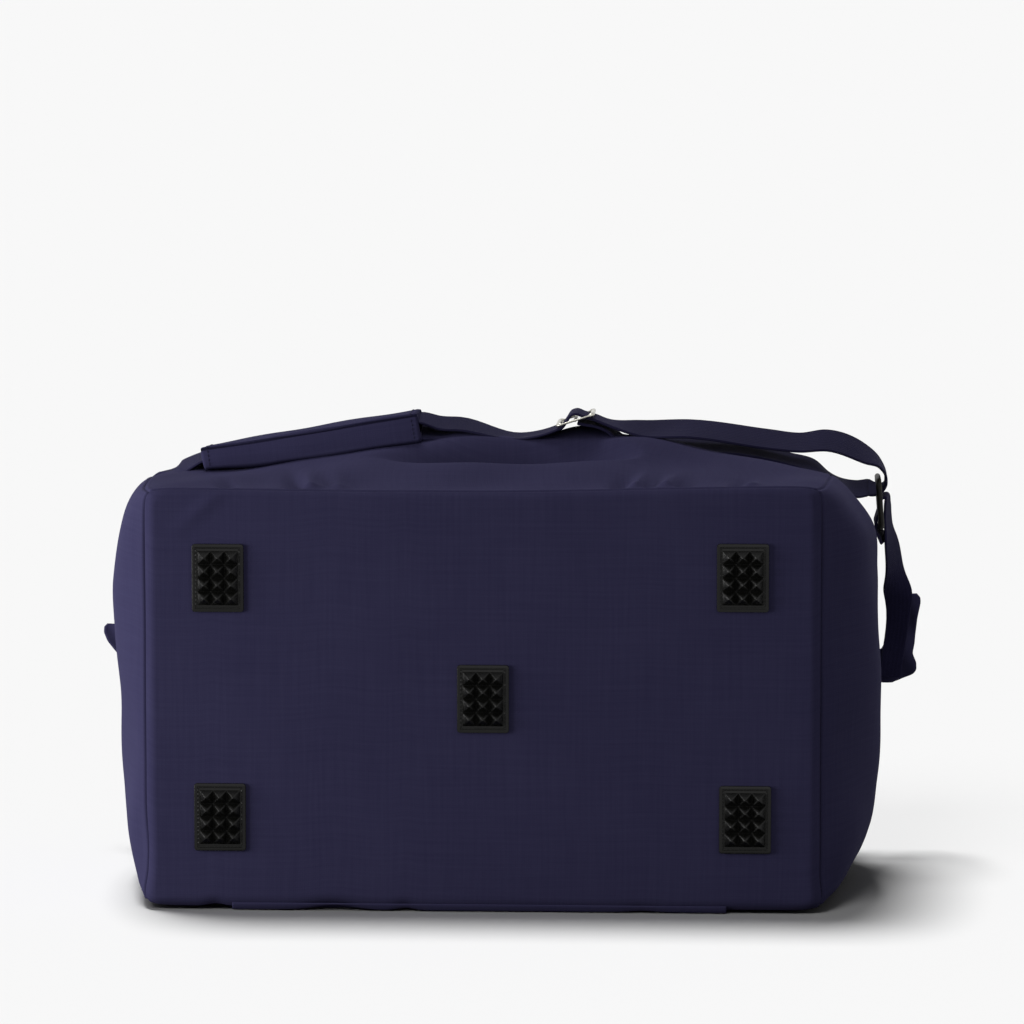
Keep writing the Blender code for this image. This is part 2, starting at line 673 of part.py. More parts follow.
def build_handle(name, side, droop):
    """A rolled carry handle folded down the shoulder from two sewn tabs."""
    depth = (HANDLE_ROOT - BASE_Y) / DEPTH
    height = front_z if side > 0 else back_z
    step = 0.02
    slope = Vector((0, -step * DEPTH, height(depth - step) - height(depth))).normalized()
    normal = Vector((0, abs(slope.z), side * abs(slope.y)))
    seat = Vector((0, HANDLE_ROOT, height(depth)))
    axis = seat + normal * HANDLE_LIFT
    turned = slope * cos(droop) + normal * sin(droop)
    path = []
    for x, reach in rounded_rectangle(0, 0, HANDLE_HALF, HANDLE_REACH, HANDLE_CORNER, 5):
        if reach > 0:
            path.append(axis + EAST * x + turned * reach)
    right, left = [axis + EAST * s * HANDLE_HALF + turned * HANDLE_LEG_START for s in (1, -1)]
    points = [right, (right + path[0]) / 2, *path, (left + path[-1]) / 2, left]
    grip = tube(f"{name}_handle", points, HANDLE_TUBE, NAVY_WEBBING)
    hang(grip, pivot(f"{name}_handle_hinge", axis))
    for label, s in (("left", -1), ("right", 1)):
        low = seat + normal * (GAP + WEB_THICK / 2) + EAST * s * HANDLE_HALF
        webbing(
            f"{name}_handle_tab_{label}", [low, low + slope * HANDLE_TAB_LONG], [EAST, EAST], 2,
            NAVY_WEBBING, HANDLE_TAB_WIDE,
        )


build_skin()
build_lining()
build_back_pocket()
build_feet()
build_mouth()
build_slider("zip_slider_left", -1)
build_slider("zip_slider_right", 1)
right_tab = [(0.2530, 0.148, 0.0), (0.2900, 0.146, 0.0), (0.3279, 0.148, 0.0)]
build_end("right", RIGHT_RING, right_tab, 0.131, 0.200, Vector((0.3040, 0.147, 0.2008)))
left_tab = [(-0.2530, 0.148, 0.0), (-0.2850, 0.150, -0.002), (-0.3130, 0.156, -0.006)]
build_end("left", LEFT_RING, left_tab, 0.108, 0.176, Vector((-0.2820, 0.149, 0.1770)))
build_tri_glide()
build_shoulder_strap()
build_shoulder_pad()
build_handle("front", 1, 0.0)
build_handle("back", -1, BACK_HANDLE_DROOP)
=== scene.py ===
from math import cos, pi, radians, sin

import bpy
import numpy as np
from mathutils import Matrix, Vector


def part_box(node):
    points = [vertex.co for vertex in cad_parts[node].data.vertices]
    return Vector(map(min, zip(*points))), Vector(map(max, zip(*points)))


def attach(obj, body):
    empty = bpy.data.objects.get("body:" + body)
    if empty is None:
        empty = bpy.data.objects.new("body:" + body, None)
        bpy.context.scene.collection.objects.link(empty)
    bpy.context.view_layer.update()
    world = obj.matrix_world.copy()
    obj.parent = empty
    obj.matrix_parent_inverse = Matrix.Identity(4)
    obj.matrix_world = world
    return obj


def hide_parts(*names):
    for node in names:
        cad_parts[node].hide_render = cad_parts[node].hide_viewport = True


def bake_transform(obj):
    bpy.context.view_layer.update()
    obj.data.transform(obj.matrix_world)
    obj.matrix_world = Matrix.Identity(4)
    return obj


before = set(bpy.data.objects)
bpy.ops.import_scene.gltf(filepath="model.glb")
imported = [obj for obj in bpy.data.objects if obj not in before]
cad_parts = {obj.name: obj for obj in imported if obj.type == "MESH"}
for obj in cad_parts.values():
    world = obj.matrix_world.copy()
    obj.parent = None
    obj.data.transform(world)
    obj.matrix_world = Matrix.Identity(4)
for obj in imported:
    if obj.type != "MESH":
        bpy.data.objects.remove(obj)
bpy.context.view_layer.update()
print("frame loaded,", len(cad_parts), "nodes")

# The camera stands where the photograph was taken from: a long lens, a little above the bag
view = dict(place=(.20730651, -4.11064376, .7116924), down=6.001009, turn=2.682985, lens=192.373461)
camera = bpy.data.objects.new("camera", bpy.data.cameras.new("camera"))
camera.location = view["place"]
camera.rotation_euler = (radians(90 - view["down"]), 0, radians(view["turn"]))
camera.data.lens = view["lens"]
camera.data.clip_end = 400
scene = bpy.context.scene
scene.collection.objects.link(camera)
scene.camera = camera
scene.view_settings.view_transform = "Standard"


def linearRgb(hexColour):
    # sRGB hex to linear light, by the standard two-part curve
    value = np.array([int(hexColour[i:i + 2], 16) for i in (1, 3, 5)]) / 255
    bent = np.where(value <= .04045, value / 12.92, ((value + .055) / 1.055) ** 2.4)
    return (*bent.tolist(), 1)


def addNode(tree, kind, inputs=None, **settings):
    # one node: settings are its own properties, inputs are values or the sockets that feed it
    node = tree.nodes.new("ShaderNode" + kind)
    for key, value in settings.items():
        setattr(node, key, value)
    for key, value in (inputs or {}).items():
        if isinstance(value, bpy.types.NodeSocket):
            tree.links.new(value, node.inputs[key])
        else:
            node.inputs[key].default_value = value
    return node


def newFinish(name, **sockets):
    # a material whose constant sockets are set on the shader itself
    made = bpy.data.materials.new(name)
    made.use_nodes = True
    shader = made.node_tree.nodes["Principled BSDF"]
    for key, value in sockets.items():
        shader.inputs[key.replace("_", " ")].default_value = value
    return made, made.node_tree, shader


def mathOf(tree, operation, *values):
    # one step of arithmetic on sockets or numbers
    return addNode(tree, "Math", dict(enumerate(values)), operation=operation).outputs[0]


def noiseOf(tree, place, size, detail):
    # noise with features of about a size in metres
    return addNode(tree, "TexNoise", {0: place, "Scale": 1 / size, "Detail": detail}).outputs[0]


def bandsOf(tree, cloth, pitch, direction):
    # bands at a pitch in metres: a wave texture repeats every 2 pi / (20 scale)
    inputs = {0: cloth, "Scale": pi / (10 * pitch)}
    return addNode(tree, "TexWave", inputs, bands_direction=direction).outputs[1]


def linkLook(tree, shader, look, share, height, step):
    # a colour between the finish's dark and light ones, by a share, and a bump of a step in metres
    ends = {0: share, 6: linearRgb(look["dark"]), 7: linearRgb(look["light"])}
    colour = addNode(tree, "Mix", ends, data_type="RGBA").outputs[2]
    tree.links.new(colour, shader.inputs["Base Color"])
    bump = addNode(tree, "Bump", {"Strength": look["relief"], "Distance": step, "Height": height})
    tree.links.new(bump.outputs[0], shader.inputs["Normal"])


def wovenCanvas(name, look):
    # coated polyester canvas in plain weave: matte, with uneven threads that show as faint streaks
    made, tree, shader = newFinish(
        name, Roughness=look["roughness"], Specular_IOR_Level=look["specular"],
        Sheen_Weight=look["sheen"], Sheen_Roughness=.45,
    )
    cloth = addNode(tree, "UVMap").outputs[0]
    warp, weft = (bandsOf(tree, cloth, look["thread"], direction) for direction in "XY")
    over = addNode(tree, "TexChecker", {0: cloth, "Scale": 1 / look["thread"]}).outputs[1]
    weave = addNode(tree, "Mix", {0: over, 2: warp, 3: weft}).outputs[0]
    slubs = []
    for wide, long in (look["streak"], look["streak"][::-1]):
        drawn = addNode(tree, "Mapping", {0: cloth, "Scale": (1 / wide, 1 / long, 1)}).outputs[0]
        slubs.append(noiseOf(tree, drawn, 1, 2))
    slub = mathOf(tree, "ADD", *slubs)
    tone = mathOf(tree, "ADD", slub, noiseOf(tree, cloth, look["fade"], 3))
    tone = addNode(tree, "MapRange", {0: tone, 1: .5, 2: 2.5}).outputs[0]
    share = mathOf(tree, "MULTIPLY_ADD", weave, look["weaveTone"], tone)
    height = mathOf(tree, "MULTIPLY_ADD", slub, .6, weave)
    linkLook(tree, shader, look, share, height, .0004)
    return made


def ribbedWebbing(name, look):
    # woven polyester webbing: fine ribs across the band, drawn slanted as its twill runs, and a dull face
    made, tree, shader = newFinish(
        name, Roughness=look["roughness"], Specular_IOR_Level=look["specular"],
        Sheen_Weight=look["sheen"], Sheen_Roughness=.4,
    )
    cloth = addNode(tree, "UVMap").outputs[0]
    along, across = addNode(tree, "SeparateXYZ", {0: cloth}).outputs[:2]
    slant = mathOf(tree, "MULTIPLY_ADD", mathOf(tree, "ABSOLUTE", across), .8, along)
    twill = addNode(tree, "CombineXYZ", {0: slant, 1: across}).outputs[0]
    rib = bandsOf(tree, twill, look["rib"], "X")
    yarn = bandsOf(tree, cloth, look["yarn"], "Y")
    weave = mathOf(tree, "MULTIPLY", rib, yarn)
    rub = noiseOf(tree, cloth, look["fade"], 3)
    linkLook(tree, shader, look, mathOf(tree, "MULTIPLY_ADD", weave, .45, rub), weave, .0005)
    return made


def grainedFinish(name, look):
    # moulded, plated or painted: a tone that wanders between two colours, with grain in gloss and height
    made, tree, shader = newFinish(
        name, Metallic=look.get("metallic", 0), Specular_IOR_Level=look.get("specular", .5)
    )
    place = addNode(tree, "TexCoord").outputs["Object"]
    grain = noiseOf(tree, place, look["grain"], 4)
    wear = noiseOf(tree, place, look["patch"], 5)
    low, high = look.get("wear", (.35, .65))
    worn = addNode(tree, "MapRange", {0: wear, 1: low, 2: high}).outputs[0]
    smooth, rough = look["roughness"]
    gloss = addNode(tree, "MapRange", {0: grain, 1: .3, 2: .7, 3: smooth, 4: rough}).outputs[0]
    tree.links.new(gloss, shader.inputs["Roughness"])
    linkLook(tree, shader, look, worn, grain, .0002)
    return made


# The canvas's threads are about three times as far apart as the real 0.5 mm, which is finer than a pixel
canvasLook = dict(
    dark="#2b2944", light="#393753", thread=.0016, streak=(.0022, .07), fade=.09, weaveTone=.12,
    roughness=.92, specular=.03, sheen=0, relief=.08,
)
liningLook = dict(
    canvasLook, dark="#35344a", light="#44435a", thread=.0010, sheen=.2, roughness=.7, relief=.2,
)
tapeLook = dict(canvasLook, dark="#1f1e30", light="#2a293d", thread=.0008, streak=(.001, .03), relief=.5)
webLook = dict(
    dark="#1c1a30", light="#272540", rib=.0022, yarn=.0031, fade=.05,
    roughness=.88, specular=.04, sheen=.02, relief=.5,
)
canvas = wovenCanvas("navy coated canvas", canvasLook)
liningCloth = wovenCanvas("navy lining taffeta", liningLook)
zipTape = wovenCanvas("navy woven zip tape", tapeLook)
webbing = ribbedWebbing("navy ribbed webbing", webLook)
# bonded nylon thread: a little glossier than the canvas
thread = grainedFinish("navy sewing thread", dict(
    dark="#201e35", light="#2c2a43", grain=.0008, patch=.004, roughness=(.6, .8), relief=.3, specular=.1))
# moulded rubber: near black with a dull shine that lights the facets that face a lamp
rubber = grainedFinish("black moulded rubber", dict(
    dark="#060605", light="#0c0c0b", grain=.0006, patch=.012, roughness=(.20, .30), relief=.2, specular=.19))
# black lacquer over brass wire: dark, with olive brass where it has rubbed through
lacquer = grainedFinish("black lacquered brass", dict(
    dark="#0d0d0b", light="#3b3520", grain=.0008, patch=.006, wear=(.55, .78), roughness=(.45, .6),
    relief=.15, specular=.14))
# plated zinc casting: grey white metal with fine scratches
zinc = grainedFinish("nickel plated zinc", dict(
    dark="#8d8b83", light="#c4c2b8", grain=.0005, patch=.006, roughness=(.22, .38), relief=.15, metallic=1))
gunmetal = grainedFinish("gunmetal plated zinc", dict(
    dark="#4a4a48", light="#7c7b76", grain=.0004, patch=.004, roughness=(.25, .4), relief=.15, metallic=1))
nylon = grainedFinish("black nylon coil", dict(
    dark="#15151c", light="#22222c", grain=.0006, patch=.01, roughness=(.32, .45), relief=.2))
board = grainedFinish("black polythene board", dict(
    dark="#131314", light="#1d1d1f", grain=.0012, patch=.03, roughness=(.5, .65), relief=.4))
print("finishes made")


def ease(t):
    # smooth step from 0 to 1
    t = np.clip(t, 0, 1)
    return t * t * (3 - 2 * t)


def bell(t):
    # a bump of height 1 that is 0.37 high one width away
    return np.exp(-t * t)


def gridFaces(rows, columns, closedRows=False, closedColumns=False):
    # quads of a grid of points laid out row by row
    r = np.arange(rows if closedRows else rows - 1)[:, None]
    c = np.arange(columns if closedColumns else columns - 1)[None, :]
    nextR, nextC = (r + 1) % rows, (c + 1) % columns
    corners = [r * columns + c, r * columns + nextC, nextR * columns + nextC, nextR * columns + c]
    return np.stack(np.broadcast_arrays(*corners), -1).reshape(-1, 4)


def ladder(count):
    # quads across a closed loop whose second half runs back beside the first
    i = np.arange(count // 2 - 1)
    return np.stack([i, i + 1, count - 2 - i, count - 1 - i], -1)


def facedOut(points, faces):
    # a closed mesh has a positive volume, summed as tetrahedra from the origin, when its faces point out
    a, b, c, d = (points[faces[:, k]] for k in range(4))
    volume = (a * (np.cross(b, c) + np.cross(c, d))).sum()
    return faces if volume > 0 else faces[:, ::-1]


def joined(shells):
    # several (points, faces, uv) shells as one
    starts = np.cumsum([0] + [len(shell[0]) for shell in shells])
    faces = np.concatenate([shell[1] + start for shell, start in zip(shells, starts)])
    return np.concatenate([s[0] for s in shells]), faces, np.concatenate([s[2] for s in shells])


def addPiece(name, shell, finish, body="bag", nodes=(), sharp=40):
    # puts a shell's arrays into a mesh object at the origin, and ties it to the frame
    points, faces, uv = shell
    mesh = bpy.data.meshes.new(name)
    mesh.vertices.add(len(points))
    mesh.vertices.foreach_set("co", points.astype(np.float32).ravel())
    corners = faces.astype(np.int32).ravel()
    mesh.loops.add(len(corners))
    mesh.loops.foreach_set("vertex_index", corners)
    mesh.polygons.add(len(faces))
    mesh.polygons.foreach_set("loop_start", np.arange(0, len(corners), 4, dtype=np.int32))
    mesh.update(calc_edges=True)
    mesh.uv_layers.new(name="cloth").data.foreach_set("uv", uv[corners].astype(np.float32).ravel())
    mesh.set_sharp_from_angle(angle=radians(sharp))
    mesh.materials.append(finish)
    piece = bpy.data.objects.new(name, mesh)
    scene.collection.objects.link(piece)
    if body:
        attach(piece, body)
    if nodes:
        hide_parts(*nodes)
    return piece


def addCanvas(name, shell, nodes=(), body="bag"):
    return addPiece(name, shell, canvas, body, nodes)


def addWeb(name, shell, nodes=(), body="bag", sharp=40):
    return addPiece(name, shell, webbing, body, nodes, sharp)


def unit(vectors):
    # each vector divided by its length
    return vectors / np.linalg.norm(vectors, axis=-1, keepdims=True)


def runOf(route):
    # distance along a route at each of its points
    return np.concatenate([[0], np.cumsum(np.linalg.norm(np.diff(route, axis=0), axis=1))])


def gridNormals(grid, centre=None):
    # unit normals, the cross product of the grid's two steps, turned away from a centre
    normal = np.cross(np.gradient(grid, axis=1), np.gradient(grid, axis=0))
    normal /= np.linalg.norm(normal, axis=2, keepdims=True) + 1e-15
    return normal if centre is None else normal * np.sign((normal * (grid - centre)).sum())


def fromEdge(grid, axis, last=False):
    # distance over the cloth from the first or last edge of a grid
    step = np.linalg.norm(np.diff(grid, axis=axis), axis=2)
    run = np.concatenate([np.zeros_like(np.take(step, [0], axis)), np.cumsum(step, axis)], axis)
    return np.take(run, [-1], axis) - run if last else run


def gridUv(grid):
    # cloth coordinates in metres, measured over the surface from the middle of each row
    u = fromEdge(grid, 1)
    return np.stack([u - u[:, -1:] / 2, fromEdge(grid, 0)], -1)


def shellBetween(outer, inner, uv=None):
    # a closed wall: two grids of the same layout and a strip of quads round their rim
    rows, columns = outer.shape[:2]
    count = rows * columns
    index = np.arange(count).reshape(rows, columns)
    rim = np.concatenate([index[0], index[1:, -1], index[-1, -2::-1], index[-2:0:-1, 0]])
    after = np.roll(rim, -1)
    face = gridFaces(rows, columns)
    strip = np.stack([after, rim, rim + count, after + count], -1)
    points = np.concatenate([outer.reshape(-1, 3), inner.reshape(-1, 3)])
    faces = np.concatenate([face, face[:, ::-1] + count, strip])
    flat = (gridUv(outer) if uv is None else uv).reshape(-1, 2)
    return points, facedOut(points, faces), np.concatenate([flat, flat])


def softPlate(middle, thick, edge, uv=None):
    # cloth of a thickness about a middle surface, half round within an edge distance of its rim
    normal = gridNormals(middle)
    near = np.minimum(fromEdge(middle, 0), fromEdge(middle, 0, True))
    near = np.minimum(near, np.minimum(fromEdge(middle, 1), fromEdge(middle, 1, True)))
    short = 1 - np.clip(near / edge, 0, 1)
    half = (thick / 2 * np.sqrt(1 - .96 * short ** 2))[..., None]
    uv = gridUv(middle) if uv is None else uv
    return shellBetween(middle + normal * half, middle - normal * half, uv)


def smoothRoute(points, perSpan, chord=None):
    # a cubic curve through the points: each tangent weighs the two chords beside it, the shorter one more
    p = np.asarray(points, float)
    chord = (np.linalg.norm(np.diff(p, axis=0), axis=1) if chord is None else chord)[:, None]
    slope = np.diff(p, axis=0) / chord
    inner = (slope[:-1] * chord[1:] + slope[1:] * chord[:-1]) / (chord[1:] + chord[:-1])
    tangent = np.vstack([slope[:1], inner, slope[-1:]])
    t = (np.arange(perSpan) / perSpan)[None, :, None]
    start, end = p[:-1, None], p[1:, None]
    leave, arrive = ((tangent[k:len(chord) + k] * chord)[:, None] for k in (0, 1))
    curve = start + leave * t + (3 * (end - start) - 2 * leave - arrive) * t ** 2
    curve = curve + (2 * (start - end) + leave + arrive) * t ** 3
    return np.vstack([curve.reshape(-1, p.shape[1]), p[-1]])


def edgeSpread(count):
    # -1 to 1, closer together near both ends
    return np.sin(np.linspace(-pi / 2, pi / 2, count))


def bandMiddle(points, widths, wide, perSpan=8, across=11):
    # the middle surface of a band: each point of a route carries a straight line across it, of its own length
    route = smoothRoute(points, perSpan)
    chord = np.linalg.norm(np.diff(points, axis=0), axis=1)
    width = unit(smoothRoute(widths, perSpan, chord))
    wide = smoothRoute(np.broadcast_to(wide, len(points))[:, None], perSpan, chord)
    return route[:, None] + width[:, None] * (edgeSpread(across)[None, :] * wide / 2)[..., None]


def bandUv(middle):
    # u runs along the band and v across it from its centre line
    v = fromEdge(middle, 1)
    return np.stack([fromEdge(middle, 0), v - v[:, -1:] / 2], -1)


def webBand(points, widths, wide=.038, thick=.002, perSpan=8):
    middle = bandMiddle(points, widths, wide, perSpan)
    return softPlate(middle, thick, thick / 2, bandUv(middle))


def roundProfile(halfWide, halfHigh, count=14):
    # an oval loop whose second half mirrors the first, for tubes and bars
    angle = pi * (np.arange(count // 2) + .5) / (count // 2)
    top = np.stack([-np.cos(angle) * halfWide, np.sin(angle) * halfHigh], -1)
    return np.concatenate([top, top[::-1] * (1, -1)])


def sweep(path, across, profile, closed=False):
    # carries a profile along a path: each section is path + across * wide + normal * high
    path = np.asarray(path, float)
    if closed:
        along = np.roll(path, -1, 0) - np.roll(path, 1, 0)
    else:
        along = np.gradient(path, axis=0)
    along = unit(along)
    across = np.broadcast_to(np.asarray(across, float), path.shape)
    across = unit(across - along * (across * along).sum(1, keepdims=True))
    normal = np.cross(along, across)
    profile = np.broadcast_to(profile, (len(path), *np.shape(profile)[-2:]))
    grid = path[:, None] + across[:, None] * profile[..., :1] + normal[:, None] * profile[..., 1:]
    rows, columns = grid.shape[:2]
    faces = gridFaces(rows, columns, closed, True)
    if not closed:
        faces = np.concatenate([faces, ladder(columns)[:, ::-1], ladder(columns) + (rows - 1) * columns])
    points = grid.reshape(-1, 3)
    uv = np.stack(np.broadcast_arrays(fromEdge(grid, 0), profile[..., 0]), -1).reshape(-1, 2)
    return points, facedOut(points, faces), uv


def roundedLoop(halfX, halfZ, radius, perCorner=4):
    # a rectangle with rounded corners as a closed loop of (x, z) points
    turn = np.radians(np.linspace(0, 90, perCorner)[None, :] + np.array([0, 90, 180, 270])[:, None])
    centreX = np.array([1, -1, -1, 1])[:, None] * (halfX - radius)
    centreZ = np.array([1, 1, -1, -1])[:, None] * (halfZ - radius)
    return np.stack([centreX + radius * np.cos(turn), centreZ + radius * np.sin(turn)], -1).reshape(-1, 2)


def repeated(shape, places, axes):
    # copies of one small shell, each at its place with its own three axes
    points, faces, uv = shape
    count, size = len(places), len(points)
    moved = np.einsum("pk,nkd->npd", points, axes) + places[:, None]
    shifted = faces[None] + (np.arange(count) * size)[:, None, None]
    return moved.reshape(-1, 3), shifted.reshape(-1, 4), np.tile(uv, (count, 1))


def stitchRow(route, normals, pitch=.004, long=.0029, wide=.0008, high=.0008):
    # stitches at an even pitch along a route, each a low loaf lying on the cloth
    run = runOf(route)
    at = np.arange(pitch / 2, run[-1], pitch)
    place, ahead, behind, up = (
        np.stack([np.interp(at + shift, run, values[:, k]) for k in range(3)], -1)
        for values, shift in ((route, 0), (route, pitch / 8), (route, -pitch / 8), (normals, 0))
    )
    along, up = unit(ahead - behind), unit(up)
    spine = np.array([[-long / 2, 0, 0], [-long / 4, 0, high / 3], [long / 4, 0, high / 3], [long / 2, 0, 0]])
    swell = np.array([.35, 1, 1, .35])[:, None, None]
    loaf = sweep(spine, (0, 1, 0), roundProfile(wide / 2, high / 2, 6) * swell)
    axes = np.stack([along, np.cross(up, along), up], 1)
    return repeated(loaf, place, axes)


# Bag body: the frame's own driving sizes, with the cloth's finer form
bag = dict(
    halfLength=.248, taper=.003, depth=.310, frontZ=.310, backZ=.0053, mouthLow=.060, mouthHigh=.250,
    wall=.0024, frontSwell=.019, shoulder=(.56, .74), gussetSeam=.66, topPower=40, floorPower=40,
    crownStop=.76, crownLean=1.5, sideRim=1.6, edgeRim=4, endRound=.75, endSideRim=4,
    edgeRound=.009, seamTurn=72, mouthRound=.0022, seamDeep=.0008, seamWide=.0010,
    columns=241, rowsUp=151, panelRows=dict(front=96, back=50), gussetRows=46, endRows=96, gussetSewn=(2, 4),
)
endForm = dict(  # how far each end swells, at heights from -1 on the floor to 1 at the top
    left=((-1, .0090), (-.95, .0165), (-.9, .0212), (-.75, .0290), (-.5, .0305), (-.25, .0326), (0, .0334),
          (.25, .0359), (.5, .0402), (.75, .0338), (.9, .0240), (1, .0120)),
    right=((-1, .0120), (-.95, .0255), (-.9, .0306), (-.75, .0400), (-.5, .0434), (-.25, .0461), (0, .0485),
           (.25, .0452), (.5, .0449), (.75, .0412), (.9, .0240), (1, .0105)),
)
baseY = -bag["depth"] / 2
mouthY = bag["depth"] / 2
mouthZ = (bag["mouthLow"] + bag["mouthHigh"]) / 2
bagCentre = np.array([0, 0, mouthZ])
seamInset = bag["edgeRound"] * (1 - sin(radians(bag["seamTurn"])))
seamDepth = bag["edgeRound"] * (1 - cos(radians(bag["seamTurn"])))

# How the cloth lies: hollows, lifts, puckers and creases, in metres
hollow = dict(
    x=.006, y=-.032, skew=.40, wide=.108, long=.047, deep=.034,
    rim=2.1, rimCrisp=.8, rimWide=.05, rimNear=.04,
)
rests = (  # x, y, width, length and height: rises under the strap and pad, and dips beside them
    (.040, .038, .150, .045, .0015), (-.024, .035, .038, .038, .0122), (.116, .018, .060, .042, .0118),
    (-.175, .000, .055, .060, -.0062), (.068, .046, .034, .020, .0172), (-.245, .030, .030, .060, -.0035),
    (.235, .030, .028, .060, -.0016), (-.226, .050, .020, .024, .0066), (-.088, .030, .022, .040, .0016),
    (-.010, -.082, .100, .030, .0040),
)
rightLift, leftLift = .0046, .0012
hang = .0046  # the base's lower edge hangs this far, to the floor
floorLifts = (  # x, width and height
    (-.196, .007, .0022), (-.108, .020, .0036), (-.056, .008, .0022), (.118, .014, .0012),
)
puckers = (  # x, width, height and reach from the base seam
    (-.188, .0050, -.0044, .045), (-.138, .0055, -.0060, .070), (-.127, .0070, .0046, .060),
    (-.106, .0060, .0034, .050), (.100, .0060, -.0050, .050), (.112, .0050, .0042, .055),
    (.122, .0050, -.0038, .040), (.135, .0065, .0042, .050), (.146, .0060, -.0050, .050),
    (.185, .0050, -.0050, .045), (.196, .0060, .0030, .045),
)
puckerFan, puckerRoot = .12, .02  # they fan outwards by this slope, from this far behind the seam
crease = dict(x=-.204, z=.297, lean=(.66, .75), wide=.006, long=.022, high=.0010)  # on the base, upper left
pinch = dict(depth=.012, long=.010, z=.045, tall=.022, deep=.0028)  # in the left end, by the lower corner
cornerPush = .005  # the lower corners are filled out by this
endLumps = ((.0014, 41, 23, 0), (.0011, -19, 57, 2.1))  # height, radians a metre along y and z, and a start
topWaves = ((.0009, 37, 21, 0), (.0007, 71, -33, 0))  # the same along x and y
fades = dict(  # where a movement starts to fade in, and over what distance
    top=(.262, .04), liftRight=(-.02, .27), liftLeft=(.05, .2), liftUp=(.12, .18), liftBack=(0, .13),
    pucker=(.007, .012), floor=(0, .035), hangEnds=(-.260, .024), hangBack=(0, .022), base=(0, .004),
    ends=(.225, .03), lumpBase=(0, .03), lumpMouth=(.09, .05), leftEnd=(.2, .03), cornerUp=(0, .03),
    cornerBack=(0, .06), waveBase=(0, .05),
)
pocket = dict(
    x=-.0025, near=-.1425, far=.052, halfLong=.1815, thick=.005, edge=.0024,
    hem=(.0008, .0058), hemThick=.0016, hemEdge=.0008, hemSunk=.0013, hemOut=.0006, hemCurl=.0022,
)


def shoulderShare(depth):
    # how far the section has narrowed: level, then a parabola, then a straight slope
    start, end = bag["shoulder"]
    past = np.maximum(depth - start, 0)
    whole = (end - start) / 2 + 1 - end
    return np.where(depth < end, past ** 2 / (2 * (end - start)), past - (end - start) / 2) / whole


def slopeZ(depth, side):
    # height of the front or back face along the depth
    low, high = (bag["frontZ"], bag["mouthHigh"]) if side > 0 else (bag["backZ"], bag["mouthLow"])
    return low + (high - low) * shoulderShare(depth)


def endSwell(across, up):
    # each end's own curve of swelling, read at a height
    left, right = (np.interp(up, *smoothRoute(endForm[word], 12).T) for word in ("left", "right"))
    return np.where(across < 0, left, right)


def skinPoint(depth, across, up, inset):
    # a section at a depth is a rounded rectangle; its front and ends swell by powers that die at the seams
    top, low = slopeZ(depth, 1), slopeZ(depth, -1)
    halfUp = (top - low) / 2 - inset
    halfAcross = bag["halfLength"] - bag["taper"] * depth - inset
    seam = seamDepth / bag["depth"]
    d = np.clip((depth - seam) / (1 - seam), 0, 1)
    crown = np.sin(pi * np.minimum(d / bag["crownStop"], 1) ** bag["crownLean"])
    front = bag["frontSwell"] * crown * (1 - np.abs(across) ** bag["sideRim"])
    front = front * np.maximum(up, 0) ** bag["edgeRim"]
    full = (4 * d * (1 - d)) ** bag["endRound"]
    end = endSwell(across, up) * full * np.abs(across) ** bag["endSideRim"]
    x = halfAcross * across + np.sign(across) * end
    y = baseY + bag["depth"] * depth
    z = (top + low) / 2 + halfUp * up + front
    return np.stack(np.broadcast_arrays(x, y, z), -1)


def cornerPower(up):
    return np.where(up >= 0, bag["topPower"], bag["floorPower"])


def reach(along, power):
    # runs between the corners of a section, where across and up are equal
    return 2.0 ** (-1 / power) * np.sin(pi / 2 * along)


def restOf(value, power):
    # the other coordinate of a superellipse
    return (1 - np.abs(value) ** power) ** (1 / power)


def sidePoint(side, along):
    # (across, up) on one side of a section, along running from -1 to 1 between its corners
    if side in ("front", "back"):
        sign = 1 if side == "front" else -1
        power = cornerPower(sign)
        return reach(along, power), sign * restOf(reach(along, power), power)
    power = cornerPower(along)
    return (1 if side == "right" else -1) * restOf(reach(along, power), power), reach(along, power)


def floorWave(x):
    # where the lower edge lifts off the floor
    return sum(high * bell((x - at) / wide) for at, wide, high in floorLifts)


def fade(value, name):
    start, run = fades[name]
    return ease((value - start) / run)


def waved(waves, first, second):
    # slow unevenness of the cloth along two axes
    return sum(high * np.sin(first * a + second * b + start) for high, a, b, start in waves)


